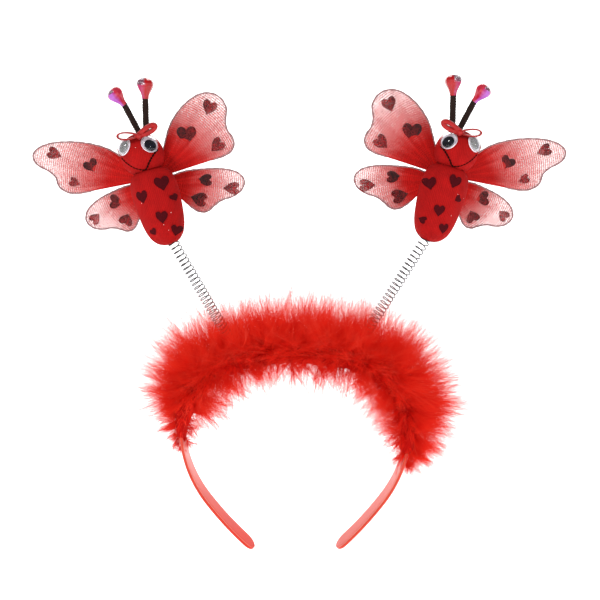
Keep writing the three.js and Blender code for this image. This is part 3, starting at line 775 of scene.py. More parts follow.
def on_head(points):
    """Points of the head's own frame, turned and rolled on the body."""
    inner, depth, high = points[..., 0], points[..., 1], points[..., 2]
    ahead = inner * math.cos(HEAD_TURN) + depth * math.sin(HEAD_TURN)
    deep = depth * math.cos(HEAD_TURN) - inner * math.sin(HEAD_TURN)
    rolled = [ahead * math.cos(HEAD_ROLL) + high * math.sin(HEAD_ROLL), deep,
              high * math.cos(HEAD_ROLL) - ahead * math.sin(HEAD_ROLL) + HEAD_HEIGHT]
    return np.stack(rolled, -1)


def bug_piece(name, grid, side_name, finish, slot, *nodes, **options):
    """A grid of bug points made into a piece that rides on that bug and may stand for CAD nodes."""
    side = SIDES[side_name]
    made = put_grid(f"{side_name}_{name}", on_bug(grid, side), flip=side > 0, **options)
    painted(made, finish)
    if nodes:
        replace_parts(made, *[f"{side_name}_{node}" for node in nodes])
    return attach(made, f"{side_name}_bug")


print("bug frame at", on_bug(np.zeros(3), -1).round(1), "and", on_bug(np.zeros(3), 1).round(1))

# %% [markdown]
# ## Padded body and head
# Body and head are tubes of fine ribbed knit, stuffed and gathered shut. Inflating a cloth tube by
# simulation gives such a form too, but on a piece this small the stuffing is tight, so the outline is
# known: a smooth profile turned about the axis. Soft folds, gathers towards the ends and a seat for the
# head are added to the formula, and the knit itself is bump in the finish.

# %% Body and head shapes
BODY_SHIFT = 1.6
BODY_FLATNESS = 0.89
BODY_PROFILE = np.array([
    # height, radius
    (0, 0), (0.5, 3.4), (2.4, 6.9), (6.4, 9.9), (14, 12), (28, 13.35), (36, 12.9), (40.6, 11.2),
    (43, 8.6), (44.4, 5), (44.9, 0),
])
BODY_ROWS = 70
BODY_COLUMNS = 84
HEAD_RADIUS = 12.2
HEAD_ROWS = 60
NECK_GAP = 0.15
EYE_AZIMUTH = math.radians(39)
EYE_ELEVATION = math.radians(22)
EYE_SEAT = 0.9


def smooth_line(points, count):
    """Catmull-Rom line through points, at equal steps: each slope is half the step between neighbours."""
    points = np.asarray(points, float)
    framed = np.vstack([2 * points[0] - points[1], points, 2 * points[-1] - points[-2]])
    a, b, c, d = framed[:-3], framed[1:-2], framed[2:-1], framed[3:]
    t = np.linspace(0, 1, 20, endpoint=False)[:, None, None]
    bend = (2 * a - 5 * b + 4 * c - d) * t ** 2 + (3 * b - a - 3 * c + d) * t ** 3
    line = (b + 0.5 * ((c - a) * t + bend)).transpose(1, 0, 2).reshape(-1, points.shape[1])
    line = np.vstack([line, points[-1:]])
    length = np.concatenate([[0], np.cumsum(np.linalg.norm(np.diff(line, axis=0), axis=1))])
    at = np.linspace(0, length[-1], count)
    return np.stack([np.interp(at, length, line[:, k]) for k in range(points.shape[1])], 1)


BODY_LINE = smooth_line(BODY_PROFILE, BODY_ROWS)


def body_radius(height):
    """Radius of the body at heights above its lower end."""
    return np.interp(height, BODY_LINE[:, 0], BODY_LINE[:, 1])


def body_grid():
    """Turned profile, flattened from front to back, with gathers at the ends and long soft folds."""
    height, radius = BODY_LINE[1:-1, :1], BODY_LINE[1:-1, 1:]
    angle = np.linspace(0, math.tau, BODY_COLUMNS, endpoint=False)[None]
    gathers = 0.22 * np.cos(17 * angle) * np.exp(-height / 5)
    gathers = gathers + 0.06 * np.cos(15 * angle) * np.exp((height - 42) / 4)
    folds = 0.16 * np.cos(3 * angle + 0.6) * np.sin(height * math.pi / 47)
    folds = folds + 0.1 * np.sin(7 * angle + height / 9)
    wide = radius + (gathers + folds) * np.minimum(1, radius / 5)
    grid = np.stack([wide * np.cos(angle) + BODY_SHIFT, BODY_FLATNESS * wide * np.sin(angle),
                     height + 0 * angle], -1)
    centre = np.array([0, 0, HEAD_HEIGHT])
    away = np.linalg.norm(grid - centre, axis=-1, keepdims=True)
    seat = np.maximum(away, HEAD_RADIUS + NECK_GAP)
    return centre + (grid - centre) * seat / away


def eye_way(at):
    """Outward direction of an eye in the head's frame: at is -1 for the outer eye, 1 for the inner."""
    flat = math.cos(EYE_ELEVATION)
    ahead, aside = flat * math.cos(EYE_AZIMUTH), flat * math.sin(EYE_AZIMUTH)
    return np.array([at * aside, -ahead, math.sin(EYE_ELEVATION)])


def head_grid():
    """Ball with gathers at the neck and crown; each eye presses a flat into it."""
    rise = np.linspace(-math.pi / 2, math.pi / 2, HEAD_ROWS)[1:-1, None]
    angle = np.linspace(0, math.tau, BODY_COLUMNS, endpoint=False)[None]
    pucker = 0.22 * np.cos(18 * angle) * (np.exp(-(rise + 1.57) * 3.2) + 0.7 * np.exp((rise - 1.57) * 4))
    wide = HEAD_RADIUS - 0.1 + pucker + 0.08 * np.sin(5 * angle + 3 * rise)
    grid = np.stack([wide * np.cos(rise) * np.cos(angle), wide * np.cos(rise) * np.sin(angle),
                     wide * np.sin(rise) + 0 * angle], -1)
    for at in (-1, 1):
        way = eye_way(at)
        over = np.maximum(0, grid @ way - (HEAD_RADIUS - EYE_SEAT))
        grid = grid - over[..., None] * way
    return on_head(grid)


def plush_finish():
    """Fine ribbed red knit with a soft nap and a few white glitter flakes caught in it; the rib grooves are
    painted darker as shade.
    """
    material, tree, shader = new_finish("ribbed knit", Specular_IOR_Level=0.12)
    ribs = placed(tree, RIBS, surface_map(tree), Across=78.0, Along=60.0)["Height"]
    mottle = placed(tree, MOTTLE, object_place(tree), Size=5.0)
    flake = placed(tree, GLITTER, object_place(tree), Size=0.5, Share=0.001)["Flake"]
    patchy = maths(tree, "MULTIPLY", mottle["Broad"], 0.7)
    # Painted shade in the rib grooves, added to the real patchy dye of the mottle.
    shade = maths(tree, "ADD", maths(tree, "MULTIPLY", ribs, 0.45), patchy)
    cloth = blended(tree, shade, screen(130, 7, 9), screen(186, 18, 17))
    colour = blended(tree, flake, cloth, screen(250, 225, 220))
    height = maths(tree, "ADD", ribs, maths(tree, "MULTIPLY", mottle["Fine"], 0.5))
    rough = between(tree, flake, 0, 1, 0.82, 0.25)
    feed(tree, shader, Base_Color=colour, Roughness=rough, Normal=bumped(tree, height, 0.12))
    return material


PLUSH = plush_finish()
for name in SIDES:
    body = bug_piece("padded_body", body_grid(), name, PLUSH, "plush", "body")
    head = bug_piece("padded_head", head_grid(), name, PLUSH, "plush", "head")
print("padded pieces:", len(body.data.polygons) + len(head.data.polygons), "faces a bug")

# %% [markdown]
# ## Stitched mouth
# The smile is one thread, sewn in a wide V across the lower half of the face. A groove in the bump would
# do from afar, but a thread that lies on the cloth catches its own light. Its path follows the ball, and
# its thickness swells and pinches with every stitch.

# %% Mouth
MOUTH_POINTS = np.array([
    # inner, high: measured from the middle of the head before it is rolled
    (-10.3, 0.6), (-6.9, -4.2), (-3, -7.6), (1.3, -8.9), (4.6, -5.8), (8.2, -2), (10.6, 0.2),
])
STITCHES = 17
THREAD_RADIUS = (0.36, 0.58)


def mouth_grid():
    """Thread on the ball: the path is lifted to the head's surface; its radius is a row of bulges, larger on
    the inner side."""
    flat = smooth_line(MOUTH_POINTS, 240)
    inner, high = flat.T
    depth = -np.sqrt((HEAD_RADIUS + 0.05) ** 2 - inner ** 2 - high ** 2)
    path = np.stack([inner, depth, high], 1)
    share = np.linspace(0, 1, len(path))
    swell = 0.1 + 0.9 * np.abs(np.sin(math.pi * STITCHES * share)) ** 0.6
    thick = np.interp(share, [0.4, 0.7], THREAD_RADIUS)
    section = ring(8)[None] * (thick * swell)[:, None, None]
    return swept(path, unit(path), section) + np.array([0, 0, HEAD_HEIGHT])


def thread_finish():
    """Dark brown sewing thread with a twist; the grooves of the twist are painted darker as shade."""
    material, tree, shader = new_finish("brown thread", Roughness=0.9, Specular_IOR_Level=0.05)
    ribs = placed(tree, RIBS, surface_map(tree), Across=3.0, Along=90.0)["Height"]
    # Painted shade: the twist's grooves are darker.
    feed(tree, shader, Base_Color=blended(tree, ribs, screen(16, 3, 3), screen(50, 8, 7)),
         Normal=bumped(tree, ribs, 0.05))
    return material


THREAD = thread_finish()
for name in SIDES:
    mouth = bug_piece("mouth_stitches", mouth_grid(), name, THREAD, "stem")
print("mouth:", STITCHES, "stitches")

# %% [markdown]
# ## Wiggle eyes
# A wiggle eye is a white cup, a loose black disc and a clear dome. All three are turned profiles. The dome
# is a closed shell with an inside, so light bends in it twice, as in the real plastic.

# %% Eyes
EYE_RADIUS = 4.85
EYE_BACK = 0.9
EYE_GAP = 0.3
PUPIL_RADIUS = 3.35
PUPIL_THICKNESS = 0.5
DOME_HEIGHT = 2.6
DOME_WALL = 0.45
EYE_SIDES = 56
PUPIL_SHIFT = {"outer": (0.55, -0.1), "inner": (-0.1, -0.95)}


def eye_part(at, radius, height, shift=(0, 0)):
    """A profile turned about an eye's axis, moved aside on the eye's own face."""
    way = eye_way(at)
    upward = unit(np.array([0, 0, 1.0]) - way[2] * way)
    foot = (HEAD_RADIUS - EYE_SEAT + EYE_GAP) * way + shift[0] * np.cross(upward, way) + shift[1] * upward
    return on_head(turned_about(foot, way, np.asarray(radius, float), np.asarray(height, float), EYE_SIDES))


def cup_profile():
    """White cup: a disc with a rounded rim that stands up round a shallow floor."""
    edge = np.linspace(-math.pi / 2, math.pi / 2, 9)
    radius = np.concatenate([[0.01, 3], EYE_RADIUS - 0.4 + 0.4 * np.cos(edge), [EYE_RADIUS - 0.7, 0.01]])
    height = np.concatenate([[0, 0], 0.5 * EYE_BACK * (1 + np.sin(edge)), [EYE_BACK - 0.12, EYE_BACK - 0.12]])
    return radius, height


def pupil_profile():
    """Black disc with softly rounded edges."""
    edge = np.linspace(-math.pi / 2, math.pi / 2, 7)
    radius = np.concatenate([[0.01], PUPIL_RADIUS - 0.2 + 0.2 * np.cos(edge), [0.01]])
    height = np.concatenate([[0], 0.5 * PUPIL_THICKNESS * (1 + np.sin(edge)), [PUPIL_THICKNESS]])
    return radius, height + EYE_BACK + 0.1


def dome_profile():
    """Clear shell: from the inner top down to the rim, then up the outside."""
    turn = np.linspace(0.002, math.pi / 2, 16)
    inside = (EYE_RADIUS - DOME_WALL) * np.sin(turn), (DOME_HEIGHT - DOME_WALL) * np.cos(turn)
    outside = EYE_RADIUS * np.sin(turn[::-1]), DOME_HEIGHT * np.cos(turn[::-1])
    return np.concatenate([inside[0], outside[0]]), np.concatenate([inside[1], outside[1]]) + EYE_BACK + 0.05


def white_finish():
    """White moulded cup, very slightly lilac, with faint scuffs; a faint glow is painted light that lifts
    the shade the dome casts on it.
    """
    # Painted light: the white glows faintly in its own colour.
    material, tree, shader = new_finish("eye white", Roughness=0.35, Emission_Strength=0.1)
    mottle = placed(tree, MOTTLE, object_place(tree), Size=2.5)
    colour = blended(tree, mottle["Broad"], screen(226, 214, 232), screen(250, 246, 252))
    feed(tree, shader, Base_Color=colour, Emission_Color=colour)
    return material


def pupil_finish():
    """Black disc with a blue-grey bloom."""
    material, tree, shader = new_finish("pupil black", Roughness=0.4, Specular_IOR_Level=0.04)
    mottle = placed(tree, MOTTLE, object_place(tree), Size=1.4)
    feed(tree, shader, Base_Color=blended(tree, mottle["Fine"], screen(4, 4, 8), screen(26, 26, 44)))
    return material


def dome_finish(name, clearness):
    """Clear plastic with slight scratches; the less clear one has a white veil, a painted reflection of the
    white surroundings.
    """
    material, tree, shader = new_finish(name, Transmission_Weight=clearness, IOR=1.3)
    mottle = placed(tree, MOTTLE, object_place(tree), Size=1.5)
    shader.inputs["Base Color"].default_value = (1, 1, 1, 1)
    feed(tree, shader, Roughness=between(tree, mottle["Fine"], 0.6, 0.85, 0.0, 0.08))
    return material


WHITE = white_finish()
PUPIL = pupil_finish()
EYE_FINISHES = {
    # The outer dome's white veil is a painted reflection.
    "outer": {"back": WHITE, "pupil": PUPIL, "dome": dome_finish("dome with painted reflection", 0.86)},
    "inner": {"back": WHITE, "pupil": PUPIL, "dome": dome_finish("clear dome", 1.0)},
}
EYE_SLOTS = {"back": "eye_white", "pupil": "pupil", "dome": "dome"}
for name in SIDES:
    for place, at in (("outer", -1), ("inner", 1)):
        shapes = {"back": (*cup_profile(), (0, 0)), "dome": (*dome_profile(), (0, 0)),
                  "pupil": (*pupil_profile(), PUPIL_SHIFT[place])}
        for part, profile in shapes.items():
            node = f"{place}_eye_{part}"
            finish = EYE_FINISHES[place][part]
            bug_piece(f"{node}_turned", eye_part(at, *profile), name, finish, EYE_SLOTS[part], node)
print("eyes:", 4)

# %% [markdown]
# ## Antennae
# Each antenna is a stem wound with black yarn, and on it a cut drop of red plastic with a pearly coat.
# The yarn's turns are a small wave that runs round the stem like a screw. The drop is a turned form
# with few sides and flat faces, because its facets are what glitters.

# %% Stems and drops
STEM_RADIUS = 1.7
STEM_SINK = 1.5
YARN_PITCH = 1.5
YARN_DEPTH = 0.11
DROP_SOCKET = 0.8
DROP_SIDES = 9
ANTENNAE = {
    # foot and top in the head's frame (inner, high), then the drop's lean, forward tilt and size
    "outer": ((0.4, 11.4), (-6.6, 29.2), -31, 26, 0.93),
    "inner": ((3.8, 11.4), (6, 31.1), 9, 8, 0.98),
}
DROP_PROFILE = np.array([
    # height, radius
    (0, 1.95), (1.3, 2.05), (3.1, 2.7), (5.2, 3.9), (7, 4.75), (8.6, 4.9), (10.2, 4), (11.2, 2.2),
    (11.4, 0.1),
])


def head_spot(inner_high):
    """A point of the head's frame in the plane of its middle."""
    return np.array([inner_high[0], 0, inner_high[1]])


def stem_grid(foot, top):
    """Round stem whose radius waves along a screw line, like wound yarn, and tapers at the foot."""
    foot, top = head_spot(foot), head_spot(top)
    along = unit(top - foot)
    start = foot - STEM_SINK * along
    height = np.linspace(0, np.linalg.norm(top - start), 90)
    angle = np.linspace(0, math.tau, 20, endpoint=False)
    wave = np.abs(np.sin(0.5 * (angle[None] + math.tau * height[:, None] / YARN_PITCH)))
    radius = STEM_RADIUS - YARN_DEPTH + YARN_DEPTH * 1.6 * wave + 0.05 * np.sin(height[:, None] * 0.9)
    first = unit(np.cross(along, DEPTH))
    outward = np.cos(angle)[:, None] * first + np.sin(angle)[:, None] * np.cross(along, first)
    return on_head(start + radius[..., None] * outward[None] + height[:, None, None] * along)


def drop_grid(foot, top, lean, forward, size):
    """Cut drop whose neck holds the stem's end: a turned profile with few sides, leaned aside and forward."""
    foot, top = head_spot(foot), head_spot(top)
    lean, forward = math.radians(lean), math.radians(forward)
    flat = math.cos(forward)
    axis = np.array([math.sin(lean) * flat, -math.sin(forward), math.cos(lean) * flat])
    start = top - DROP_SOCKET * unit(top - foot)
    height, radius = size * DROP_PROFILE.T
    return on_head(turned_about(start, axis, radius, height, DROP_SIDES))


def yarn_finish():
    """Black-brown yarn with fuzzy highlights."""
    material, tree, shader = new_finish("black yarn", Roughness=0.85, Specular_IOR_Level=0.15)
    mottle = placed(tree, MOTTLE, object_place(tree), Size=1.6)
    colour = blended(tree, mottle["Fine"], screen(13, 8, 7), screen(56, 38, 33))
    feed(tree, shader, Base_Color=colour, Normal=bumped(tree, mottle["Fine"], 0.12))
    return material


def drop_finish(name, body, edge, highlight_rows):
    """Red plastic with a pearly coat: its sheen is painted violet on the outer side, and a painted highlight,
    white, crackled and partly metallic, sits on a flat face high on it.
    """
    material, tree, shader = new_finish(
        name, Roughness=0.12, Specular_IOR_Level=0.35, Coat_Weight=0.2, Coat_Roughness=0.04,
    )
    around, along = surface_axes(tree)
    mottle = placed(tree, MOTTLE, object_place(tree), Size=4.0)
    turn = maths(tree, "FRACT", maths(tree, "ADD", around, 0.35))
    aside = maths(tree, "ABSOLUTE", maths(tree, "SUBTRACT", turn, 0.5))
    uneven = maths(tree, "ADD", aside, maths(tree, "MULTIPLY", mottle["Broad"], 0.12))
    # Painted sheen: the pearly coat is real, its violet shimmer is painted on the outer side.
    painted_pearl_sheen = between(tree, uneven, 0.1, 0.2, 1.0, 0.0)
    # Painted highlight: a white, crackled patch on a flat face high on the drop.
    low = between(tree, along, highlight_rows[0] - 0.04, highlight_rows[0])
    high = between(tree, along, highlight_rows[1], highlight_rows[1] + 0.04, 1.0, 0.0)
    front = between(tree, uneven, 0.16, 0.2, 1.0, 0.0)
    painted_facet_highlight = maths(tree, "MULTIPLY", maths(tree, "MULTIPLY", low, high), front)
    crackle = placed(tree, GLITTER, object_place(tree), Size=1.0, Share=0.8)["Flake"]
    bright = blended(tree, crackle, screen(150, 96, 116), screen(252, 248, 252))
    colour = blended(tree, painted_facet_highlight, blended(tree, painted_pearl_sheen, body, edge), bright)
    feed(tree, shader, Base_Color=colour, Metallic=maths(tree, "MULTIPLY", painted_facet_highlight, 0.6))
    return material


YARN = yarn_finish()
# Per drop: body red, colour of the painted sheen, and the rows of the painted highlight.
DROPS = {"outer": drop_finish("violet drop", screen(190, 40, 62), screen(178, 92, 192), (0.76, 0.92)),
         "inner": drop_finish("red drop", screen(176, 8, 16), screen(186, 64, 108), (0.56, 0.92))}
for name in SIDES:
    for place, row in ANTENNAE.items():
        bug_piece(f"{place}_wound_stem", stem_grid(*row[:2]), name, YARN, "stem", f"{place}_stem")
        drop = drop_grid(*row)
        bug_piece(f"{place}_cut_drop", drop, name, DROPS[place], "drop", f"{place}_drop", smooth=False)
print("antennae:", 2, "a bug")

# %% [markdown]
# ## Ribbon bow
# The bow is a narrow satin ribbon: two loops and a knot on the brow. Each loop is a flat section carried
# round a leaf-shaped line and back to the knot, so it needs no ends. One loop is seen edge on, the other
# is twisted to show its face.

# %% Bow
KNOT = np.array([2.4, -11, 9.6])
LOOPS = (
    # length, height, lean from the inner side, twist about its own length, ribbon width and thickness
    (11.8, 4.6, 176, 12, 3.2, 0.9),
    (10.6, 3.7, 24, 26, 2.8, 2.5),
)


def loop_grid(length, height, lean, twist, width, thickness):
    """Ribbon round a leaf-shaped line: out along the top, back along the bottom, fuller at the far end."""
    turn = np.linspace(0, math.tau, 120, endpoint=False)
    out = 0.5 * length * (1 - np.cos(turn))
    rise = 0.5 * height * np.sin(turn) * (0.5 + 0.5 * out / length)
    lean, twist = math.radians(lean), math.radians(twist)
    way = np.array([math.cos(lean), 0, math.sin(lean)])
    upward = np.array([-math.sin(lean), 0, math.cos(lean)]) * (1 if math.cos(lean) > 0 else -1)
    tall = math.cos(twist) * upward - math.sin(twist) * DEPTH
    wide = math.cos(twist) * DEPTH + math.sin(twist) * upward
    path = out[:, None] * way + rise[:, None] * tall
    ahead = unit(np.roll(path, -1, 0) - np.roll(path, 1, 0))
    face = np.cross(ahead, wide)
    across, thick = rounded(np.linspace(0, math.tau, 20, endpoint=False), 3)
    narrow = 0.62 + 0.38 * np.minimum(1, out / (0.35 * length))
    flat = 0.5 * width * narrow[:, None, None] * across[None, :, None] * wide
    solid = 0.5 * thickness * thick[None, :, None] * face[:, None]
    return on_head(KNOT + path[:, None] + flat + solid)


def knot_grid():
    """Knot: a small ball, pinched by the ribbon that goes round it."""
    rise = np.linspace(-math.pi / 2, math.pi / 2, 26)[1:-1, None]
    angle = np.linspace(0, math.tau, 36, endpoint=False)[None]
    wide = 1.75 + 0.16 * np.cos(4 * rise) + 0.08 * np.sin(3 * angle)
    ball = np.stack([1.3 * wide * np.cos(rise) * np.cos(angle), wide * np.cos(rise) * np.sin(angle),
                     1.1 * wide * np.sin(rise) + 0 * angle], -1)
    return on_head(KNOT + ball)


def satin_finish():
    """Red satin: fine threads along the ribbon and a soft shine."""
    material, tree, shader = new_finish("red satin", Specular_IOR_Level=0.3)
    ribs = placed(tree, RIBS, surface_map(tree), Across=26.0, Along=12.0)["Height"]
    mottle = placed(tree, MOTTLE, object_place(tree), Size=3.0)
    colour = blended(tree, mottle["Broad"], screen(140, 8, 11), screen(188, 22, 22))
    feed(tree, shader, Base_Color=colour, Roughness=between(tree, mottle["Fine"], 0.3, 0.7, 0.32, 0.5),
         Normal=bumped(tree, ribs, 0.04))
    return material


def closed_loop(grid):
    """The grid with its first row repeated at the end, so that the ribbon closes on itself."""
    return np.concatenate([grid, grid[:1]])


SATIN = satin_finish()
for name in SIDES:
    for number, row in enumerate(LOOPS):
        nodes = ("bow",) if number == 0 else ()
        loop = closed_loop(loop_grid(*row))
        bug_piece(f"bow_loop_{number + 1}", loop, name, SATIN, "ribbon", *nodes, caps=False)
    bug_piece("bow_knot", knot_grid(), name, SATIN, "ribbon")
print("bows:", len(LOOPS), "loops each")

# %% [markdown]
# ## Wings
# A wing is a loop of thin wire with sheer red nylon stretched over it and tied at the root. There the
# nylon is gathered and dense; towards the tip it is stretched thin, so it fades to pale pink. Cloth
# simulation isn't needed for a stretched skin. The sheet is a fan of straight lines from the root to the
# rim, bowed a little, with a front and a back face. Its map holds the distance from the root and the
# angle round it, so that the knit follows the stretch.

# %% Wing shapes
HUB = np.array([0, 12.9, 40])
UPPER = np.array([
    # x away from the body, z up
    (2.5, -0.4), (7, 7), (12.5, 16), (20, 25.5), (31, 32.8), (43, 36.6), (51.5, 36), (56.5, 32), (57, 26),
    (53.2, 20), (51.8, 15), (52.8, 9), (49.5, 3.8), (42, 1.6), (30, 1.7), (17, 2.1), (5, -1.4),
])
LOWER = np.array([
    (2.5, -3.2), (16, -0.9), (27, -2), (37, -4.2), (44.5, -7.6), (48, -11.5), (48.5, -15.5), (45.5, -19.5),
    (40, -21.7), (34, -22.2), (29.5, -24), (24.5, -26.5), (20, -25.6), (16, -21.5), (11, -13.5), (4, -4.8),
])
WINGS = {
    # outline, towards the inner side, stretch in x and z, slant, sweep back
    "upper_inner": (UPPER, 1, 0.927, 1.06, -0.21, 0),
    "upper_outer": (UPPER, -1, 1.085, 0.9, 0.26, 0),
    "lower_inner": (LOWER, 1, 1.05, 1, 0, 5),
    "lower_outer": (LOWER, -1, 0.95, 1, 0, 5),
}
WING_REACH = 57
SLANT_LEVEL = 20
ROOT_DIP = 1.1
RIM_STEPS = 120
NET_ROWS = 16
NET_PULL = {"upper_inner": 1, "upper_outer": 1, "lower_inner": 1.25, "lower_outer": 1.55}
KNIT_PITCH = 1.22
NET_THICKNESS = 0.16
NET_BOW = 0.7
RIM_RADIUS = 0.45
RIM_TWIST = 46


def wing_rim(outline, wide, tall, slant):
    """Line of the wire in the wing's plane: the outline stretched, slanted and smoothed."""
    x, z = outline.T
    rim = np.stack([x * wide + slant * (z - SLANT_LEVEL) * x / WING_REACH, 0 * x, z * tall], 1)
    rim[[0, -1], 1] = -ROOT_DIP
    return smooth_line(rim, RIM_STEPS)


def on_wing(points, facing, sweep):
    """Points of a wing's plane, faced inwards or outwards, swept back and set on the bug's hub."""
    sweep = math.radians(sweep)
    x, y, z = points[..., 0], points[..., 1], points[..., 2]
    out, deep = x * math.cos(sweep) - y * math.sin(sweep), x * math.sin(sweep) + y * math.cos(sweep)
    return np.stack([facing * out, deep, z], -1) + HUB


def wire_grid(rim):
    """Two-ply wire: an oval section that turns about its own line as it goes along the rim."""
    share = np.linspace(0, 1, len(rim))[:, None]
    turn = np.linspace(0, math.tau, 10, endpoint=False)[None]
    swell = 1 + 0.22 * np.cos(2 * (turn - math.tau * RIM_TWIST * share))
    section = np.stack([np.cos(turn) * swell, np.sin(turn) * swell], -1) * RIM_RADIUS
    return swept(rim, DEPTH, section)


def net_layers(rim):
    """Front and back of the sheet: lines from the root to the rim, bowed most half way out."""
    root = 0.5 * (rim[0] + rim[-1])
    share = np.linspace(0.04, 1, NET_ROWS)[:, None, None]
    across = np.linspace(0, 1, len(rim))[None, :, None]
    sheet = root + share * (rim[None] - root)
    bow = NET_BOW * np.sin(math.pi * share) * np.sin(math.pi * across) ** 0.5
    sheet[..., 1:2] = sheet[..., 1:2] * (1 - share) - bow + 0.1
    lift = np.array([0, 0.5 * NET_THICKNESS, 0])
    return sheet - lift, sheet + lift


def net_piece(label, rim, facing, sweep, side_name):
    """Closed thin sheet: the front fan, the back fan and the strips that join their edges."""
    front, back = net_layers(rim)
    rows, columns = front.shape[:2]
    loop = np.concatenate([front, back[:, ::-1]], 1)
    side = SIDES[side_name]
    points = on_bug(on_wing(loop, facing, sweep), side)
    root = 0.5 * (rim[0] + rim[-1])
    flat = (loop - root)[..., [0, 2]]
    angle = np.arctan2(flat[..., 1], flat[..., 0])
    polar = np.stack([np.linalg.norm(flat, axis=-1), angle], -1).reshape(-1, 2)
    faces = [grid_faces(rows, 2 * columns, True)]
    half = np.arange(columns - 1)[:, None]
    pair = np.concatenate([half, 2 * columns - 1 - half, 2 * columns - 2 - half, half + 1], 1)
    faces += [pair[:, ::-1], pair + (rows - 1) * 2 * columns]
    corners = [polar[f % len(polar)] * np.array([0.01, 1 / math.pi]) for f in faces]
    made = put(f"{side_name}_{label}_nylon", points.reshape(-1, 3), faces, corners, flip=side * facing < 0)
    mark(made, "pull", NET_PULL[label] * polar[:, 0])
    return made


def nylon_finish():
    """Sheer nylon: dense red at the root, thin and pale at the tip, with fine curved knit lines."""
    material, tree, shader = new_finish("sheer nylon", Roughness=0.7, Specular_IOR_Level=0.15)
    distance, angle = surface_axes(tree)
    reach = maths(tree, "MULTIPLY", distance, 100.0)
    arcs = maths(tree, "SINE", maths(tree, "MULTIPLY", reach, math.tau / KNIT_PITCH))
    grain = between(tree, placed(tree, MOTTLE, object_place(tree), Size=4.5)["Fine"], 0.3, 0.7, -0.8, 0.8)
    knit = maths(tree, "ADD", maths(tree, "MULTIPLY", arcs, 0.6), grain)
    streak = add(tree, "ShaderNodeCombineXYZ", {0: maths(tree, "MULTIPLY", angle, 30.0),
                                                1: maths(tree, "MULTIPLY", distance, 2.5)}).outputs[0]
    folds = add(tree, "ShaderNodeTexNoise", {"Vector": streak, "Scale": 1.0, "Detail": 2.0}).outputs[0]
    mottle = placed(tree, MOTTLE, object_place(tree), Size=9.0)
    patchy = maths(tree, "MULTIPLY", mottle["Broad"], 10.0)
    uneven = maths(tree, "ADD", maths(tree, "MULTIPLY", folds, 16.0), patchy)
    pull = maths(tree, "ADD", attribute(tree, "pull"), maths(tree, "SUBTRACT", uneven, 13.0))
    stretch = between(tree, pull, 21.0, 55.0)
    thread = maths(tree, "MULTIPLY", knit, 0.2)
    cover = between(tree, stretch, 0.0, 1.0, 1.0, 0.4)
    lines = maths(tree, "MULTIPLY", thread, maths(tree, "ADD", stretch, 0.15))
    alpha = maths(tree, "ADD", cover, lines, clamp=True)
    dense = blended(tree, folds, screen(134, 5, 7), screen(232, 26, 19))
    woven = blended(tree, between(tree, knit, -0.6, 0.6), screen(228, 100, 94), screen(190, 52, 50))
    colour = blended(tree, stretch, dense, woven)
    relief = bumped(tree, maths(tree, "ADD", knit, folds), 0.1)
    feed(tree, shader, Base_Color=colour, Alpha=alpha, Normal=relief)
    return material


def rim_finish():
    """Thin wire under nylon: mauve-brown with paler windings."""
    material, tree, shader = new_finish("wrapped wire", Roughness=0.55)
    mottle = placed(tree, MOTTLE, object_place(tree), Size=2.2)
    share = between(tree, mottle["Fine"], 0.35, 0.65)
    feed(tree, shader, Base_Color=blended(tree, share, screen(86, 52, 56), screen(190, 142, 142)),
         Normal=bumped(tree, mottle["Fine"], 0.1))
    return material


NYLON = nylon_finish()
RIM = rim_finish()
rims = {label: wing_rim(row[0], *row[2:5]) for label, row in WINGS.items()}
for name in SIDES:
    for label, (outline, facing, wide, tall, slant, sweep) in WINGS.items():
        rim = rims[label]
        line = on_bug(on_wing(wire_grid(rim), facing, sweep), SIDES[name])
        wire = put_grid(f"{name}_{label}_twisted_wire", line, flip=SIDES[name] * facing < 0)
        painted(wire, RIM)
        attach(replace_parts(wire, f"{name}_{label}_wire"), f"{name}_bug")
        net = painted(net_piece(label, rim, facing, sweep, name), NYLON)
        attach(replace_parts(net, f"{name}_{label}_net"), f"{name}_bug")
        span = np.ptp(rim, axis=0) * MM
print("wings:", len(WINGS), "a bug")

# %% [markdown]
# ## Heart prints
# Dark glitter hearts are printed on wings and body. They could be painted in the shader, but a thin patch
# of its own keeps a crisp edge from every side. A heart is a classic curve, filled from its middle; on
# the wing it lies just in front of the nylon, on the body every point is moved out to the padded surface.

# %% Hearts
HEART_STEPS = 48
HEART_RINGS = 5
PRINT_THICKNESS = 0.12
FADE_SLOPE = 0.04
WING_HEARTS = {
    # from the hub: inner, high, width, length, clockwise turn in degrees, share of fading
    "upper_inner": ((42.1, 30.1, 8.3, 8.4, 36, 0.5), (25.5, 18.2, 11.2, 10.2, 11, 0.2),
                    (40.9, 8.4, 7.8, 8.8, 61, 0.6)),
    "lower_inner": ((28.4, -8.5, 6.8, 8.8, 102, 0.05), (22.3, -18.2, 8.2, 9.4, 119, 0.25),
                    (42.3, -16.9, 7.3, 9.8, 104, 0.6)),
    "upper_outer": ((-51.4, 26.7, 7, 8.6, -53, 0.55), (-32.9, 14.9, 8.5, 7.4, -14, 0.15),
                    (-44.8, 8.1, 5.4, 6.6, -52, 0.65)),
    "lower_outer": ((-25, -8.2, 8.4, 7.8, -70, 0.25), (-39.9, -14.3, 6.6, 7, -121, 0.7),
                    (-22.1, -19.5, 8.4, 7, -144, 0.45)),
}
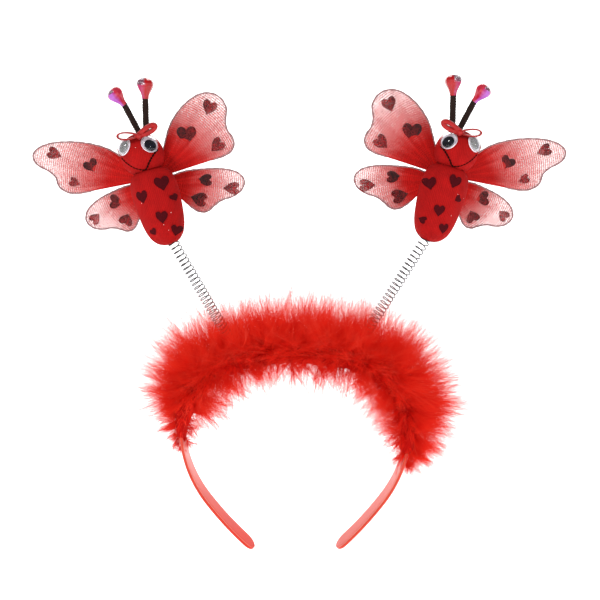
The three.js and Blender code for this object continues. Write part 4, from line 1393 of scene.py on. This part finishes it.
BODY_HEARTS = {
    # from the hub: inner, high, width, length, clockwise turn in degrees
    "left": ((8.4, -6.4, 7.7, 7.9, -1), (-4.2, -11, 6.7, 7.1, 2), (12.4, -15.2, 4, 4, -17),
             (3.5, -24.3, 6.5, 6.8, 8), (8.6, -33.2, 5.6, 6.2, 29), (-3.6, -30.9, 4.2, 4, -22)),
    "right": ((11.2, -8.9, 6.7, 6.9, 20), (-1.4, -4.9, 7.1, 7.3, -8), (-5.8, -13.4, 4, 4, -50),
              (2.7, -22.2, 6, 6.3, 6), (9.9, -28.9, 4, 4, -100), (-2.8, -31.1, 5.5, 5.7, 10)),
}


def heart_disc():
    """Heart of width and height 1, filled from its middle: rings of the classic curve, with a shallower
    notch and straighter flanks."""
    t = np.linspace(0, math.tau, HEART_STEPS, endpoint=False)
    x = np.sign(np.sin(t)) * np.abs(np.sin(t)) ** 2.3
    z = 13 * np.cos(t) - 4.3 * np.cos(2 * t) - 1.7 * np.cos(3 * t) - 0.8 * np.cos(4 * t)
    edge = np.stack([0.5 * x, (z - z.min()) / np.ptp(z) - 0.5], -1)
    return np.linspace(0.02, 1, HEART_RINGS)[:, None, None] * edge[None]


def turned_heart(inner, high, width, length, turn):
    """Heart at a place, its point turned clockwise from straight down."""
    turn = math.radians(turn)
    x, z = np.moveaxis(np.array([width, length]) * heart_disc(), -1, 0)
    return inner + x * math.cos(turn) + z * math.sin(turn), high - x * math.sin(turn) + z * math.cos(turn)


def print_faces(count):
    """Faces of closed patches: front rings, back rings, the rim between them and the two middles."""
    size = HEART_RINGS * HEART_STEPS
    front = grid_faces(HEART_RINGS, HEART_STEPS, True)[:, ::-1]
    loop = np.arange(HEART_STEPS)
    after = (loop + 1) % HEART_STEPS
    last = size - HEART_STEPS
    rim = np.stack([last + loop, last + loop + size, last + after + size, last + after], 1)[:, ::-1]
    quads = np.concatenate([front, front[:, ::-1] + size, rim])
    middles = np.stack([loop, loop[::-1] + size])
    offset = 2 * size * np.arange(count)[:, None, None]
    return [(offset + kind[None]).reshape(-1, kind.shape[1]) for kind in (quads, middles)]


def print_piece(name, patches, fades, finish, side_name):
    """One mesh of several heart patches, with a fading value on every point that grows towards one side."""
    layers = [np.stack([patch, patch + np.array([0, PRINT_THICKNESS, 0])]) for patch in patches]
    points = on_bug(np.stack(layers), SIDES[side_name])
    faces = print_faces(len(patches))
    made = put(f"{side_name}_{name}", points.reshape(-1, 3), faces, flip=SIDES[side_name] > 0)
    spot = np.stack(patches) - np.mean(patches, (1, 2), keepdims=True)
    slope = FADE_SLOPE * (spot[..., 0] - spot[..., 2]).reshape(len(patches), -1)
    mark(made, "fade", np.clip(np.array(fades)[:, None] + np.tile(slope, 2), 0, 1).ravel())
    painted(made, finish)
    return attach(made, f"{side_name}_bug")


def wing_patch(label, *row):
    """Heart just in front of a wing's sheet, swept back with it."""
    sweep = math.radians(WINGS[label][5])
    x, z = turned_heart(*row)
    y = np.abs(x) * math.tan(sweep) - NET_BOW - NET_THICKNESS - PRINT_THICKNESS
    return np.stack([x, y, z], -1) + HUB


def body_patch(*row):
    """Heart lifted on the body: at each height the depth is that of the turned, flattened profile."""
    x, z = turned_heart(*row)
    height = z + HUB[2]
    radius = body_radius(height) + 0.3
    x = np.clip(x, BODY_SHIFT - 0.995 * radius, BODY_SHIFT + 0.995 * radius)
    y = -BODY_FLATNESS * np.sqrt(radius ** 2 - (x - BODY_SHIFT) ** 2) - 0.02
    return np.stack([x, y, height], -1)


def print_finish():
    """Glitter print: near black to deep red flakes; where it fades, gaps open between the flakes."""
    material, tree, shader = new_finish("glitter print", Specular_IOR_Level=0.3)
    flakes = placed(tree, GLITTER, object_place(tree), Size=0.8, Share=0.55)
    mottle = placed(tree, MOTTLE, object_place(tree), Size=4.0)
    fade = attribute(tree, "fade")
    dark = blended(tree, flakes["Tone"], screen(20, 3, 5), screen(74, 8, 12))
    pale = blended(tree, flakes["Tone"], screen(104, 8, 12), screen(178, 28, 32))
    uneven = between(tree, mottle["Broad"], 0.35, 0.65, -0.15, 0.15)
    mixed = maths(tree, "ADD", maths(tree, "MULTIPLY", fade, 1.25), uneven, clamp=True)
    gap = maths(tree, "MULTIPLY", maths(tree, "SUBTRACT", 1.0, flakes["Flake"]), fade)
    alpha = maths(tree, "SUBTRACT", 0.98, maths(tree, "MULTIPLY", gap, 0.5), clamp=True)
    feed(tree, shader, Base_Color=blended(tree, mixed, dark, pale), Alpha=alpha,
         Roughness=between(tree, flakes["Flake"], 0, 1, 0.6, 0.3))
    return material


def flock_finish():
    """Flocked body print: matt maroon with a fine nap."""
    material, tree, shader = new_finish("flock print", Roughness=0.9, Specular_IOR_Level=0.1)
    mottle = placed(tree, MOTTLE, object_place(tree), Size=1.5)
    feed(tree, shader, Base_Color=blended(tree, mottle["Fine"], screen(46, 4, 10), screen(92, 8, 18)),
         Normal=bumped(tree, mottle["Fine"], 0.08))
    return material


PRINT = print_finish()
FLOCK = flock_finish()
for name in SIDES:
    for label, rows in WING_HEARTS.items():
        patches = [wing_patch(label, *row[:5]) for row in rows]
        print_piece(f"{label}_hearts", patches, [row[5] for row in rows], PRINT, name)
    patches = [body_patch(*row) for row in BODY_HEARTS[name]]
    print_piece("body_hearts", patches, [0.0] * len(patches), FLOCK, name)
print("hearts:", sum(len(rows) for rows in WING_HEARTS.values()), "on the wings of each bug")
